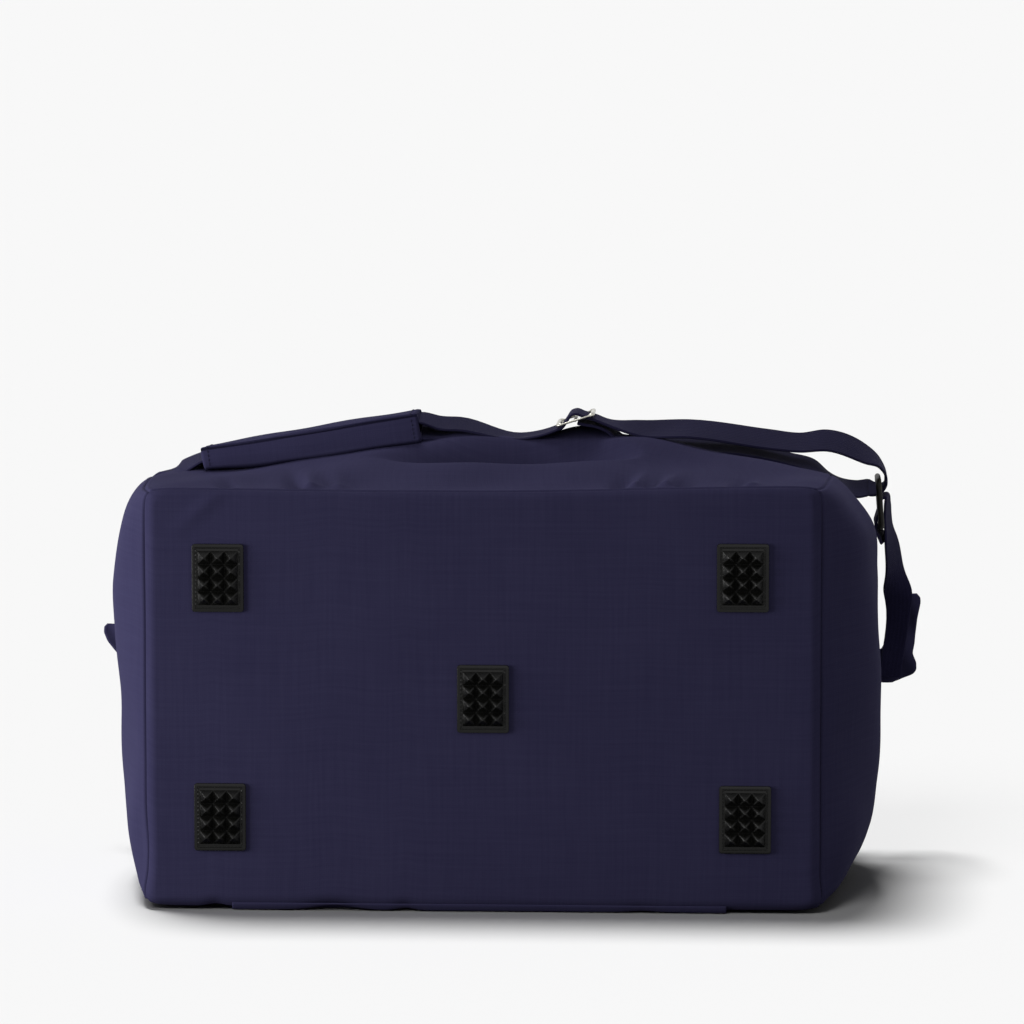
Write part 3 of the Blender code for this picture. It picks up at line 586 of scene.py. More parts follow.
def settle(points):
    # moves cloth by its place alone, so that panels that share a seam move together there
    x, y, z = np.moveaxis(points, -1, 0)
    onTop = fade(z, "top")
    fromBase = y - baseY
    fromY = y - hollow["y"]
    fromX = x - hollow["x"] - hollow["skew"] * fromY
    bowl = np.clip(1 - (fromX / hollow["wide"]) ** 2 - (fromY / hollow["long"]) ** 2, 1e-6, 1)
    # a high power makes a soft rim: so at the left and towards the base, and crisp at the right
    power = hollow["rim"] - hollow["rimCrisp"] * np.tanh(fromX / hollow["rimWide"])
    power = power + ease(-fromY / hollow["rimNear"])
    dz = -hollow["deep"] * bowl ** power * onTop
    for atX, atY, wide, long, high in rests:
        dz = dz + high * bell((x - atX) / wide) * bell((y - atY) / long) * onTop
    lift = rightLift * fade(x, "liftRight") + leftLift * fade(-x, "liftLeft")
    dz = dz + lift * fade(z, "liftUp") * (1 - fade(fromBase, "liftBack"))
    for at, wide, high, far in puckers:
        lean = at + puckerFan * (fromBase - puckerRoot) * np.sign(at)
        along = fade(fromBase, "pucker") * bell(fromBase / far)
        dz = dz + high * bell((x - lean) / wide) * along * onTop
    onFloor = 1 - fade(z, "floor")
    sag = hang * fade(-np.abs(x), "hangEnds") - floorWave(x)
    dz = dz - sag * onFloor * (1 - fade(fromBase, "hangBack"))
    onBase = 1 - fade(fromBase, "base")
    offX, offZ = x - crease["x"], z - crease["z"]
    less, more = crease["lean"]
    ridge = bell((offX * less - offZ * more) / crease["wide"])
    ridge = ridge * bell((offX * more + offZ * less) / crease["long"])
    dy = -crease["high"] * ridge * onBase
    onEnd = fade(np.abs(x), "ends")
    lump = waved(endLumps, y, z)
    dx = np.sign(x) * onEnd * lump * fade(fromBase, "lumpBase") * (1 - fade(y, "lumpMouth"))
    fold = bell((fromBase - pinch["depth"]) / pinch["long"]) * bell((z - pinch["z"]) / pinch["tall"])
    dx = dx + pinch["deep"] * fold * fade(-x, "leftEnd")
    corner = (1 - fade(z, "cornerUp")) * (1 - fade(fromBase, "cornerBack"))
    dx = dx + cornerPush * np.sign(x) * onEnd * corner
    dz = dz + onTop * waved(topWaves, x, y) * fade(fromBase, "waveBase")
    return points + np.stack(np.broadcast_arrays(dx, dy, dz), -1)


def sewnIn(grid, edges):
    # sinks a groove along the cloth's sewn edges, given as (axis, last) pairs, with a low ridge beside it
    normal = gridNormals(grid, bagCentre)
    for axis, last in edges:
        away = fromEdge(grid, axis, last) / bag["seamWide"]
        groove = bag["seamDeep"] * (bell(away) - .3 * bell((away - 2.6) / 1.2))
        grid = grid - normal * groove[..., None]
    return grid


def panelShell(grid):
    return shellBetween(grid, grid - gridNormals(grid, bagCentre) * bag["wall"])


def sideRows(stop, count, fromSeam=True, toMouth=False):
    # depths and insets of the rows: half of the base's rounded edge, the run, and the mouth's rolled edge
    size, roll = bag["edgeRound"], bag["mouthRound"]
    turn = np.radians(np.linspace(bag["seamTurn"], 90, 12))
    depth, inset = size * (1 - np.cos(turn)) / bag["depth"], size * (1 - np.sin(turn))
    start = depth[-1]
    if not fromSeam:
        start, depth, inset = bag["gussetSeam"], np.zeros(0), np.zeros(0)
    end = stop - roll / bag["depth"] if toMouth else stop
    run = start + (end - start) * np.linspace(0, 1, count) ** (1.0 if toMouth else .95)
    run = run[1:] if fromSeam else run
    depth, inset = np.append(depth, run), np.append(inset, np.zeros(len(run)))
    if toMouth:
        turn = np.radians(np.linspace(0, 90, 7)[1:])
        depth = np.append(depth, 1 - roll * (1 - np.sin(turn)) / bag["depth"])
        inset = np.append(inset, roll * (1 - np.cos(turn)))
    return depth[:, None], inset[:, None]


def sideGrid(side, rows, columns):
    depth, inset = rows
    across, up = sidePoint(side, np.linspace(-1, 1, columns)[None, :])
    return settle(skinPoint(depth, across, up, inset))


def makeBase():
    # the base: both coordinates follow the section's outline, and the rim turns over the rounded edge
    u, v = np.meshgrid(np.linspace(-1, 1, bag["columns"]), np.linspace(-1, 1, bag["rowsUp"]))
    power = cornerPower(v)
    most = reach(1, power)
    across = reach(u, power) * restOf(reach(v, power), power) / most
    up = reach(v, power) * restOf(reach(u, power), power) / most
    size = bag["edgeRound"]
    halfX = bag["halfLength"] - bag["taper"] * seamDepth / bag["depth"] - seamInset
    halfZ = (bag["frontZ"] - bag["backZ"]) / 2 - seamInset
    out = (np.abs(across) ** power + np.abs(up) ** power) ** (1 / power) + 1e-9
    steepX = (np.abs(across) / out) ** (power - 1) / halfX
    steepZ = (np.abs(up) / out) ** (power - 1) / halfZ
    inward = seamInset + (1 - out) / (np.hypot(steepX, steepZ) + 1e-9)
    fall = np.clip(size - inward, 0, size)
    y = baseY + size - np.sqrt(size ** 2 - fall ** 2)
    middle = (bag["frontZ"] + bag["backZ"]) / 2
    grid = settle(np.stack([halfX * across, y, middle + halfZ * up], -1))
    grid = sewnIn(grid, ((0, False), (0, True), (1, False), (1, True)))
    addCanvas("canvasBase", panelShell(grid), ["base_panel"])


def makePanels():
    seam = bag["gussetSeam"]
    columns = bag["columns"]
    shells = []
    for side, word in (("front", "Front"), ("back", "Back")):
        panel = sideGrid(side, sideRows(seam, bag["panelRows"][side]), columns)
        panel = sewnIn(panel, ((0, False), (0, True), (1, False), (1, True)))
        addCanvas(f"canvas{word}", panelShell(panel), [f"{side}_panel"])
        gusset = sideGrid(side, sideRows(1, bag["gussetRows"], False, True), columns)
        gusset = sewnIn(gusset, ((0, False), (1, False), (1, True)))
        addCanvas(f"canvas{word}Gusset", panelShell(gusset), [f"{side}_gusset"])
        for k in bag["gussetSewn"]:
            normal = gridNormals(gusset, bagCentre)[k, 6:-6]
            shells.append(stitchRow(gusset[k, 6:-6] + normal * .0001, normal))
    for side, word in (("left", "LeftEnd"), ("right", "RightEnd")):
        end = sideGrid(side, sideRows(1, bag["endRows"], True, True), bag["rowsUp"])
        end = sewnIn(end, ((0, False), (1, False), (1, True)))
        addCanvas(f"canvas{word}", panelShell(end), [f"{side}_end_panel"])
    addPiece("gussetStitches", joined(shells), thread, "bag")


makeBase()
makePanels()
print("bag panels made")

# Lining and pocket
lining = dict(
    inset=.0052, thick=.0006, low=.0072, short=.0065, floorInset=.012, floorGap=.0012, floorLift=.0026,
    edge=.001,
)


def makeLining():
    # a thin tub: one wall round all four sides of the section, and a floor over the board
    sides = (("front", -1), ("left", -1), ("back", 1), ("right", 1))
    along = np.linspace(-1, 1, 41)[:-1]
    parts = [sidePoint(side, sign * along) for side, sign in sides]
    across, up = (np.concatenate([part[k] for part in parts])[None, :] for k in (0, 1))
    depth = np.linspace(lining["low"] / bag["depth"], 1 - lining["short"] / bag["depth"], 60)[:, None]
    tubs = [settle(skinPoint(depth, across, up, lining["inset"] + t)) for t in (0, lining["thick"])]
    rows, columns = tubs[0].shape[:2]
    points = np.concatenate([tub.reshape(-1, 3) for tub in tubs])
    face = gridFaces(rows, columns, False, True)
    edge = np.arange(columns)
    after = (edge + 1) % columns
    count, last = rows * columns, (rows - 1) * columns
    low = np.stack([after, edge, edge + count, after + count], -1)
    high = np.stack([edge + last, after + last, after + last + count, edge + last + count], -1)
    faces = np.concatenate([face, face[:, ::-1] + count, low, high])
    flat = gridUv(tubs[0]).reshape(-1, 2)
    wall = points, facedOut(points, faces), np.concatenate([flat, flat])
    u, v = np.meshgrid(edgeSpread(41), edgeSpread(31))
    halfX = bag["halfLength"] - lining["floorInset"]
    halfZ = (bag["frontZ"] - bag["backZ"]) / 2 - lining["floorInset"]
    ripple = .0006 * np.sin(u * 9 + v * 4)
    y = baseY + lining["low"] + lining["floorGap"] + ripple
    floorGrid = np.stack([u * halfX, y, mouthZ + lining["floorLift"] + v * halfZ], -1)
    shells = [wall, softPlate(floorGrid, lining["thick"], lining["edge"])]
    addPiece("liningTub", joined(shells), liningCloth, "bag", ["lining"])


def makePocket():
    # the slip pocket that the bag lies on: a double layer of cloth, its hem turned up against the base
    u, v = np.meshgrid(edgeSpread(121), edgeSpread(61))
    x = pocket["x"] + u * pocket["halfLong"]
    y = pocket["near"] + (pocket["far"] - pocket["near"]) * (v + 1) / 2
    middle = np.stack([x, y, np.full_like(x, pocket["thick"] / 2)], -1)
    shells = [softPlate(middle, pocket["thick"], pocket["edge"])]
    low, high = pocket["hem"]
    z = low + (high - low) * (v + 1) / 2 + floorWave(x) * (1 - v) / 2
    # the hem comes out a little at the right, and its lower edge curls under
    y = baseY + pocket["hemSunk"] - pocket["hemOut"] * ease((x - .05) / .06)
    hem = np.stack([x, y + pocket["hemCurl"] * ((1 - v) / 2) ** 2, z], -1)
    shells.append(softPlate(hem, pocket["hemThick"], pocket["hemEdge"]))
    addCanvas("canvasBackPocket", joined(shells), ["back_pocket"])


makeLining()
makePocket()
print("lining and pocket made")

# Studded feet: moulded plates sewn to the base
foot = dict(
    wide=.038, tall=.050, plate=.002, corner=.0022, pitch=.010, studHigh=.005, columns=3, rows=4,
    x=.192, z=.157, rise=.0875, back=baseY - .0002, groove=.0030, studBase=.0017, stitchHigh=.0016,
    stitch=dict(pitch=.0030, long=.0022, wide=.0006, high=.0005),
)
footShifts = dict(  # sewn on by hand: how far each sits from its even place, in x and z
    middle=(.0008, .0011), upper_left=(-.0012, .0015), upper_right=(-.0019, .0035),
    lower_left=(-.0004, 0), lower_right=(.0004, .0007),
)


def ringShell(loops, highs):
    # a turned-over tray of loops at their heights, closed at both ends
    grid = np.concatenate([loops, np.broadcast_to(highs[:, None, None], (*loops.shape[:2], 1))], -1)
    rows, columns = grid.shape[:2]
    cap = ladder(columns)
    faces = np.concatenate([gridFaces(rows, columns, False, True), cap[:, ::-1], cap + (rows - 1) * columns])
    points = grid.reshape(-1, 3)
    return points, facedOut(points, faces), points[:, :2].copy()


def footShape():
    # a plate with a rounded rim, a sewing groove inside it, and rows of sharp square pyramids
    halfX, halfZ = foot["wide"] / 2, foot["tall"] / 2
    plate = foot["plate"]
    profile = np.array([  # inset from the edge, height
        (.0003, 0), (0, .0004), (0, .0013), (.0002, .0018), (.0006, plate), (.0024, plate), (.0026, .0015),
        (.0033, .0014), (.0035, .0017), (.0040, .0018),
    ])
    loops = np.stack([
        roundedLoop(halfX - i, halfZ - i, max(foot["corner"] - i, .0004), 5) for i in profile[:, 0]
    ])
    shells = [ringShell(loops, profile[:, 1])]
    half, high = foot["pitch"] / 2, foot["studHigh"]
    rise = np.array([  # half width, height
        (half, 0), (half - .00012, .0003), (.00095, high - .0009), (.00050, high - .0002), (.00028, high),
    ])
    stud = np.stack([roundedLoop(s, s, min(s * .35, .00045), 3) for s in rise[:, 0]])
    shape = ringShell(stud, rise[:, 1] + foot["studBase"])
    column = (np.arange(foot["columns"]) - (foot["columns"] - 1) / 2) * foot["pitch"]
    row = (np.arange(foot["rows"]) - (foot["rows"] - 1) / 2) * foot["pitch"]
    x, z = (axis.ravel() for axis in np.meshgrid(column, row))
    places = np.stack([x, z, np.zeros_like(x)], -1)
    shells.append(repeated(shape, places, np.tile(np.eye(3), (len(places), 1, 1))))
    return joined(shells)


def makeFeet():
    points, faces, uv = footShape()
    seamLoop = roundedLoop(foot["wide"] / 2 - foot["groove"], foot["tall"] / 2 - foot["groove"], .001, 5)
    seamLoop = np.concatenate([seamLoop, seamLoop[:1]])
    spots = [("middle", 0, 0)]
    for row, sz in (("upper", 1), ("lower", -1)):
        spots += [(f"{row}_left", -1, sz), (f"{row}_right", 1, sz)]
    threads = []
    for word, sx, sz in spots:
        dx, dz = footShifts[word]
        x, z = sx * foot["x"] + dx, foot["z"] + sz * foot["rise"] + dz
        placed = np.stack([x + points[:, 0], foot["back"] - points[:, 2], z + points[:, 1]], -1)
        shell = placed, facedOut(placed, faces), uv
        addPiece(f"rubberFoot_{word}", shell, rubber, "bag", [f"foot_{word}"], 28)
        level = np.full(len(seamLoop), foot["back"] - foot["stitchHigh"])
        route = np.stack([x + seamLoop[:, 0], level, z + seamLoop[:, 1]], -1)
        outwards = np.tile((0.0, -1.0, 0.0), (len(route), 1))
        threads.append(stitchRow(route, outwards, **foot["stitch"]))
    addPiece("footStitches", joined(threads), rubber, "bag")


makeFeet()
print("feet made")

# Webbing, rings and the sliding buckle: the frame's own routes, eased by a few millimetres
web = dict(wide=.038, thick=.002, slack=.0011, loopSlack=.0026)
ring = dict(wire=.00225, halfWide=.0235, corner=.005)
rightRing = np.array([(.2930, .115, .2945), (.2956, .115, .2590)])
leftRing = np.array([(-.2750, .128, .2520), (-.2770, .128, .2165)])
glide = dict(
    centre=np.array([.062, .030, .348]), tilt=radians(17.7), wide=.046, long=.0295, bar=.0025, thick=.0024,
    corner=.0032, endFrom=.006, endRun=.004,
    rail=.30, end=1.37,  # the rails' and end bars' thickness, as shares of the middle bar's
)
padStart = np.array([-.2204, .030, .3175])
padEnd = np.array([-.0568, .030, .3475])
padStraight = .016
east, north = np.eye(3)[:2]


def leaning(degrees):
    # a width direction along Y whose near edge hangs lower
    return np.array([0, cos(radians(degrees)), sin(radians(degrees))])


def glidePoint(along, up):
    # a point in the buckle's own plane of travel, in millimetres along the strap and above its bars
    t = glide["tilt"]
    return glide["centre"] + np.array([cos(t) * along - sin(t) * up, 0, sin(t) * along + cos(t) * up]) / 1000


def strapRoute():
    # from the left ring, through the pad and the buckle, round the right ring
    bend = ring["wire"] + web["thick"] / 2 + web["slack"]
    slack = bend + web["loopSlack"]
    left, right = leftRing[0], rightRing[0]
    lap = [left + (bend, 0, up) for up in (.018, .006, 0)]
    roundBar = ((.7 * bend, -.7), (-.1 * slack, -1), (-.8 * slack, -.7), (-slack, 0))
    under = [left + (out, 0, up * bend) for out, up in roundBar]
    under.append(left + (-slack, -.001, .010))
    corner = [(-.2700, .119, .2690), (-.2630, .098, .2795), (-.2500, .064, .3028)]
    straight = (padEnd - padStart) / np.linalg.norm(padEnd - padStart) * padStraight
    held = [padStart + (padEnd - padStart) * share for share in (0, .08, .92, 1)]
    pad = [padStart - straight - (0, 0, .0046), *held, padEnd + straight - (0, 0, .0068)]
    sag = [(-.0263, .030, .3429), (.0194, .030, .3336)]
    steps = (
        (-19, -3.2), (-14.5, -2.8), (-12, -2.7), (-6.8, .8), (-1.6, 4.6),
        (1.6, 4.6), (6.8, .8), (12, -2.7), (15, -4.8), (20.5, -9.4),
    )
    threaded = [glidePoint(*step) for step in steps]
    outer = [
        (.1106, .030, .3402), (.1486, .030, .3400), (.2093, .045, .3308), (.2320, .0575, .3274),
        (.2530, .072, .3278), (.2825, .095, .3155), (.2940, .107, .3072),
    ]
    bight = ((.0062, 0), (.0058, -.004), (.0030, -.0072), (-.002, -.0082), (-.0075, -.0070))
    turn = [right + (out, 0, up) for out, up in bight]
    points = np.array([*lap, *under, *corner, *pad, *sag, *threaded, *outer, *turn])
    widths = [north] * (len(lap) + len(under) + 1) + [(east + north) / 2, (east + 2 * north) / 3]
    widths += [leaning(lean) for lean in (13, 7, 6, 6, 7, 10, 10, 2)]
    widths += [leaning(1)] * len(threaded)
    widths += [leaning(lean) for lean in (13, 16, 18, 17, 20, 18, 6)]
    widths += [north, north, leaning(4), leaning(9), leaning(14)]
    start = turn[-1] + (.0004, 0, -.00005)
    slope = [
        (.2749, .098, .2880), (.2540, .072, .3022), (.2430, .062, .3088), (.2246, .056, .3146),
        (.1903, .042, .3236), (.1400, .033, .3275), (.0985, .030, .3305),
    ]
    tucked = [glidePoint(*step) for step in ((20, -14), (13.5, -9.5), (7, -6), (.5, -2.9))]
    back = np.array([start, *slope, *tucked])
    leans = (14, 14, -2, 10, 9, 10, 10, 6, 3, 1, 1, 1)
    return (points, np.array(widths)), (back, np.array([leaning(lean) for lean in leans]))


def makeStrap():
    strap, back = strapRoute()
    addWeb("webStrap", webBand(*strap), ["shoulder_strap"])
    addWeb("webReturn", webBand(*back), ["strap_return"])


def makeRing(name, word, pair):
    # lacquered wire bent to a rounded rectangle, its end bars along Y
    centre, half = pair.mean(0), (pair[0] - pair[1]) / 2
    size = np.linalg.norm(half)
    loop = roundedLoop(ring["halfWide"], size, ring["corner"], 9)
    path = centre + north * loop[:, :1] + half / size * loop[:, 1:]
    shell = sweep(path, np.cross(north, half), roundProfile(ring["wire"], ring["wire"], 16), True)
    addPiece(name, shell, lacquer, f"{word}_ring", [f"{word}_ring"])


def makeAnchor(name, word, pair, footPoint, drop, fold):
    # webbing round the ring's lower bar, twisting down, folded narrower, to run over the end tab
    side = np.sign(pair[0][0])
    bend = ring["wire"] + web["thick"] / 2 + web["slack"]
    around = (
        (.0028, -.0140), (.0004, -.0085), (-.0030, -.0035), (-bend, .001), (-.0034, .006), (-.0012, .0130),
        (.0004, .0215), (.0036, .0225), (.0048, .0150), (.0050, .0070), (.0058, -.002), (.0078, -.012),
    )
    loop = [pair[1] + (side * out, 0, up) for out, up in around]
    twist = loop[-1] * .45 + footPoint * .55
    points = np.array([*loop, twist, footPoint, footPoint + drop])
    tail, twisted = (.14, .14, .08), (.06, .12, .14, .16, .25, .52, 1, 1)
    square = [0] * (len(points) - len(tail) - len(twisted))
    turned = np.array([*tail, *square, *twisted])[:, None]
    widths = north * np.sqrt(1 - turned ** 2) + east * side * turned
    wide = [web["wide"]] * len(loop) + [(web["wide"] + fold) / 2, fold, fold * .8]
    addWeb(name, webBand(points, widths, wide), [f"{word}_anchor"])


def makeGlide():
    # a cast frame with stout end bars, thin side rails and a middle bar, all one plating
    t = glide["tilt"]
    forward, rise = np.array([cos(t), 0, sin(t)]), np.array([-sin(t), 0, cos(t)])
    half = glide["bar"] / 2
    loop = roundedLoop(glide["long"] / 2 - half, glide["wide"] / 2 - half, glide["corner"], 7)
    path = glide["centre"] + forward * loop[:, :1] + north * loop[:, 1:]
    atEnd = ease((np.abs(loop[:, :1, None]) - glide["long"] / 2 + glide["endFrom"]) / glide["endRun"])
    profile = roundProfile(glide["thick"] / 2, half, 12)
    frameBar = sweep(path, rise, profile * (glide["rail"] + (glide["end"] - glide["rail"]) * atEnd), True)
    reachY = glide["wide"] / 2 - half
    bar = glide["centre"] + north * np.linspace(-reachY, reachY, 7)[:, None]
    middle = sweep(bar, rise, profile)
    addPiece("castTriGlide", joined([frameBar, middle]), zinc, "bag", ["tri_glide"])


makeStrap()
makeRing("wireRightRing", "right", rightRing)
makeRing("wireLeftRing", "left", leftRing)
makeAnchor("webRightAnchor", "right", rightRing, np.array([.3102, .1405, .1960]), (-.0065, 0, -.060), .0210)
makeAnchor("webLeftAnchor", "left", leftRing, np.array([-.2820, .1457, .1770]), (.004, 0, -.055), .030)
makeGlide()
print("strap, rings and buckle made")

# End tabs: folded canvas at the ends of the mouth
tabs = dict(  # the outer edge is given as (z, x), and the top falls from its outer corner towards the root
    right=dict(
        root=.253, y=((.253, .148), (.290, .147), (.328, .148)), fall=.045, fallFrom=(.295, .316),
        edge=((.2012, .3240), (.1985, .3272), (.194, .3276), (.181, .3250), (.162, .3232), (.154, .3215),
              (.147, .3245), (.141, .3248), (.137, .3215), (.131, .3050)),
    ),
    left=dict(
        root=-.253, y=((-.313, .156), (-.285, .150), (-.253, .148)), fall=0, fallFrom=(-.300, -.320),
        edge=((.1725, -.3115), (.1715, -.3147), (.166, -.3150), (.159, -.3122), (.152, -.3065),
              (.145, -.3000), (.106, -.2900)),
    ),
    thick=.003, edge=.0016, fold=.0022,
)


def makeTab(name, word):
    # from a straight root in the bag's end out to an edge that dips and rises, with soft folds across it
    tab = tabs[word]
    z, x = np.array(tab["edge"]).T
    share = np.linspace(0, 1, 61)[:, None]
    outer = np.interp(z[-1] + (z[0] - z[-1]) * share[:, 0], z[::-1], x[::-1])
    outer = np.convolve(np.pad(outer, 1, "edge"), np.ones(3) / 3, "valid")[:, None]
    u = (edgeSpread(41)[None, :] + 1) / 2
    across = tab["root"] + (outer - tab["root"]) * u
    start, end = tab["fallFrom"]
    top = z[0] - tab["fall"] * (1 - ease((across - start) / (end - start)))
    height = z[-1] + (top - z[-1]) * share
    bendX, bendY = np.array(tab["y"]).T
    depth = np.interp(across, bendX, bendY) + tabs["fold"] * np.sin(height * 130 + across * 210) * u ** 2
    middle = np.stack([across, depth, height], -1)
    addCanvas(name, softPlate(middle, tabs["thick"], tabs["edge"]), [f"{word}_end_tab"])


makeTab("canvasRightTab", "right")
makeTab("canvasLeftTab", "left")

# Shoulder pad: a padded sleeve folded round the strap, its edges meeting towards the base
pad = dict(
    edge=.0022,
    flare=(.0036, .0060),  # how far the left and right ends open downwards, to clear the strap's bends
    # a share of the length, then the slit, top and bottom in millimetres
    stations=((0, 7.2, 7.6, -9.4), (.35, 5.6, 7.2, -13.8), (1, 4.4, 6.4, -17.0)),
    flareFrom=.39, flareRun=.10,  # from the middle, as shares of the length
    shown=(slice(0, 60), slice(114, None)),  # the stitched stretches of a section, without the underside
    stitch=dict(pitch=.0032, long=.0023, wide=.0006, high=.0006),
)
tongue = dict(
    start=(-.0668, .3362), tip=(-.0280, .3368), half=.021, lean=9, thick=.0026, edge=.0012, roundFrom=.62,
)


def padSection(slit, top, low):
    # the outside, from the upper leaf's near hem round the far fold to the lower leaf's edge, and the inside
    outer = (
        (-25.0, slit + .5), (-25.8, slit + 1.5), (-22.5, top), (-12, top + .3), (2, top + .2), (15, top - .7),
        (22, top - 2.4), (24.8, (top + low) / 2 + .8), (22.5, low + 6.4), (14, low + 3.7), (0, low + 1.7),
        (-11, low + .6), (-20, low + .3), (-25.6, low + .9), (-28.4, low + 3.2), (-28.2, low + 5.6),
        (-26.0, slit - .9),
    )
    inner = (
        (-24.0, slit + .4), (-23.4, slit - .4), (-21, .8), (-12, 1.0), (2, 2.0), (14, 3.2), (20.5, 3.6),
        (21.8, 2.2), (20.5, .8), (14, -.4), (0, -1.8), (-12, -3.0), (-18, -3.6), (-21.5, -3.5), (-23, -2.2),
        (-23.4, -.4), (-23.6, slit - 1.6),
    )
    return np.stack([smoothRoute(outer, 8), smoothRoute(inner, 8)]) / 1000


def makePad():
    # the sections at three stations are blended along the straight run, and the ends round over
    along = padEnd - padStart
    length = np.linalg.norm(along)
    rise = np.cross(along / length, north)
    places = [station[0] for station in pad["stations"]]
    sections = np.stack([padSection(*station[1:]) for station in pad["stations"]])[:, :, None]
    share = ((edgeSpread(101) + 1) / 2)[:, None]
    near = np.clip((share - places[0]) / (places[1] - places[0]), 0, 1)[..., None]
    far = np.clip((share - places[1]) / (places[2] - places[1]), 0, 1)[..., None]
    outer, inner = sections[0] + (sections[1] - sections[0]) * ease(near) + (sections[2] - sections[1]) * far
    flareLeft, flareRight = pad["flare"]
    flare = ease((np.abs(share - .5) - pad["flareFrom"]) / pad["flareRun"])
    flare = flare * (flareLeft + (flareRight - flareLeft) * share)
    inner[..., 1] -= flare * ease((.0012 - inner[..., 1]) / .002)
    v = np.linspace(0, 1, outer.shape[1])[None, :]
    short = 1 - np.clip(np.minimum(share, 1 - share) * length / pad["edge"], 0, 1)
    outer = outer + (inner - outer) * (.45 * (1 - np.sqrt(1 - short ** 2)))[..., None]
    run = padStart + along * share[..., None]
    inside = run + north * inner[..., :1] + rise * inner[..., 1:]
    outside = run + north * outer[..., :1] + rise * outer[..., 1:]
    normal = gridNormals(outside, (padStart + padEnd) / 2)
    fill = .0006 * np.sin(pi * share) + .0004 * np.sin(share * 15 + v * 14)
    outside = outside + normal * fill[..., None]
    piece = addCanvas("sleevePad", shellBetween(outside, inside), ["shoulder_pad"], "shoulder_pad")
    rows = []
    for k in (11, -12):
        for part in pad["shown"]:
            rows.append(stitchRow(outside[k, part], normal[k, part], **pad["stitch"]))
    addPiece("padStitches", joined(rows), thread, "shoulder_pad")


def makeTongue():
    # the end of the lower leaf: a flat flap with a rounded tip that lies under the strap past the pad
    s, v = np.meshgrid(np.linspace(0, 1, 31), edgeSpread(15), indexing="ij")
    past = np.clip((s - tongue["roundFrom"]) / (1 - tongue["roundFrom"]), 0, 1)
    half = v * tongue["half"] * np.sqrt(1 - .95 * past ** 2)
    x, z = (a + (b - a) * s for a, b in zip(tongue["start"], tongue["tip"]))
    lean = radians(tongue["lean"])
    middle = np.stack([x, padStart[1] + half * cos(lean), z + half * sin(lean)], -1)
    addCanvas("padTongue", softPlate(middle, tongue["thick"], tongue["edge"]), body="shoulder_pad")


makeTongue()
makePad()
print("tabs and pad made")

# Mouth: end plates, two hemmed flaps, zip tapes and coils
mouth = dict(
    flapHalf=.2135, flapNear=.006, flapFar=.0895, flapThick=.003, tapeFar=.021, tapeThick=.0012,
    tapeShort=.002, coilWide=.003, coilHigh=.0024, toothPitch=.0015, gap=.0003, hemStitch=.004,
    edge=.0015, tapeEdge=.0006,
)
tapeTop = mouthY - mouth["flapThick"] - mouth["gap"]


def flatCloth(x, z, y, thick, edge):
    # a cloth plate square to Y between ranges of x and z
    u, v = np.meshgrid((edgeSpread(121) + 1) / 2, (edgeSpread(31) + 1) / 2)
    gx, gz = x[0] + (x[1] - x[0]) * u, z[0] + (z[1] - z[0]) * v
    gy = y + .0005 * np.sin(gx * 70 + gz * 30) * np.sin(pi * v) * np.sin(pi * u)
    return softPlate(np.stack([gx, gy, gz], -1), thick, edge)


def makeMouth():
    half, inner = mouth["flapHalf"], mouth["flapHalf"] - mouth["tapeShort"]
    north4 = np.tile(north, (4, 1))
    for word, side, label in (("front", 1, "Front"), ("back", -1, "Back")):
        body = f"{word}_flap"
        z = sorted(mouthZ + side * np.array([mouth["flapNear"], mouth["flapFar"]]))
        flap = flatCloth((-half, half), z, mouthY - mouth["flapThick"] / 2, mouth["flapThick"], mouth["edge"])
        addCanvas(f"canvas{label}Flap", flap, [body], body)
        line = mouthZ + side * (mouth["flapNear"] + mouth["hemStitch"])
        hem = half - mouth["hemStitch"]
        route = np.stack([np.linspace(-hem, hem, 4), np.full(4, mouthY), np.full(4, line)], -1)
        addPiece(f"thread{label}Flap", stitchRow(route, north4), thread, body)
        z = sorted(mouthZ + side * np.array([mouth["gap"], mouth["tapeFar"]]))
        y = tapeTop - mouth["tapeThick"] / 2
        tape = flatCloth((-inner, inner), z, y, mouth["tapeThick"], mouth["tapeEdge"])
        addPiece(f"tape{label}Zip", tape, zipTape, body, [f"{word}_zip_tape"])
        count = int(2 * inner / mouth["toothPitch"])
        spine = np.array([[0, 0, -.5], [0, .12, -.3], [0, .16, .2], [0, 0, .5]]) * mouth["coilWide"]
        fat = np.array([.6, 1, 1, .7])[:, None, None] * roundProfile(.00062, mouth["coilHigh"] / 2 - .0003, 6)
        tooth = sweep(spine, (1, 0, 0), fat)
        shift = mouth["toothPitch"] / 2 if side > 0 else 0
        x = -inner + mouth["toothPitch"] / 2 + np.arange(count - 1) * mouth["toothPitch"] + shift
        middle = mouthZ + side * (mouth["gap"] + mouth["coilWide"] / 2)
        level = tapeTop + mouth["gap"] + mouth["coilHigh"] / 2
        places = np.stack([x, np.full_like(x, level), np.full_like(x, middle)], -1)
        axes = np.tile(np.diag([1.0, 1.0, -side]), (len(x), 1, 1))
        points, faces, uv = repeated(tooth, places, axes)
        coil = points, facedOut(points, faces), uv
        addPiece(f"coil{label}Zip", coil, nylon, body, [f"{word}_zip_coil"])
    for word, label in (("left", "Left"), ("right", "Right")):
        low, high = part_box(f"{word}_mouth_end")
        x, z = (low.x, high.x), (low.z, high.z)
        plate = flatCloth(x, z, mouthY - mouth["flapThick"] / 2, mouth["flapThick"], mouth["edge"])
        addCanvas(f"canvas{label}MouthEnd", plate, [f"{word}_mouth_end"])


makeMouth()

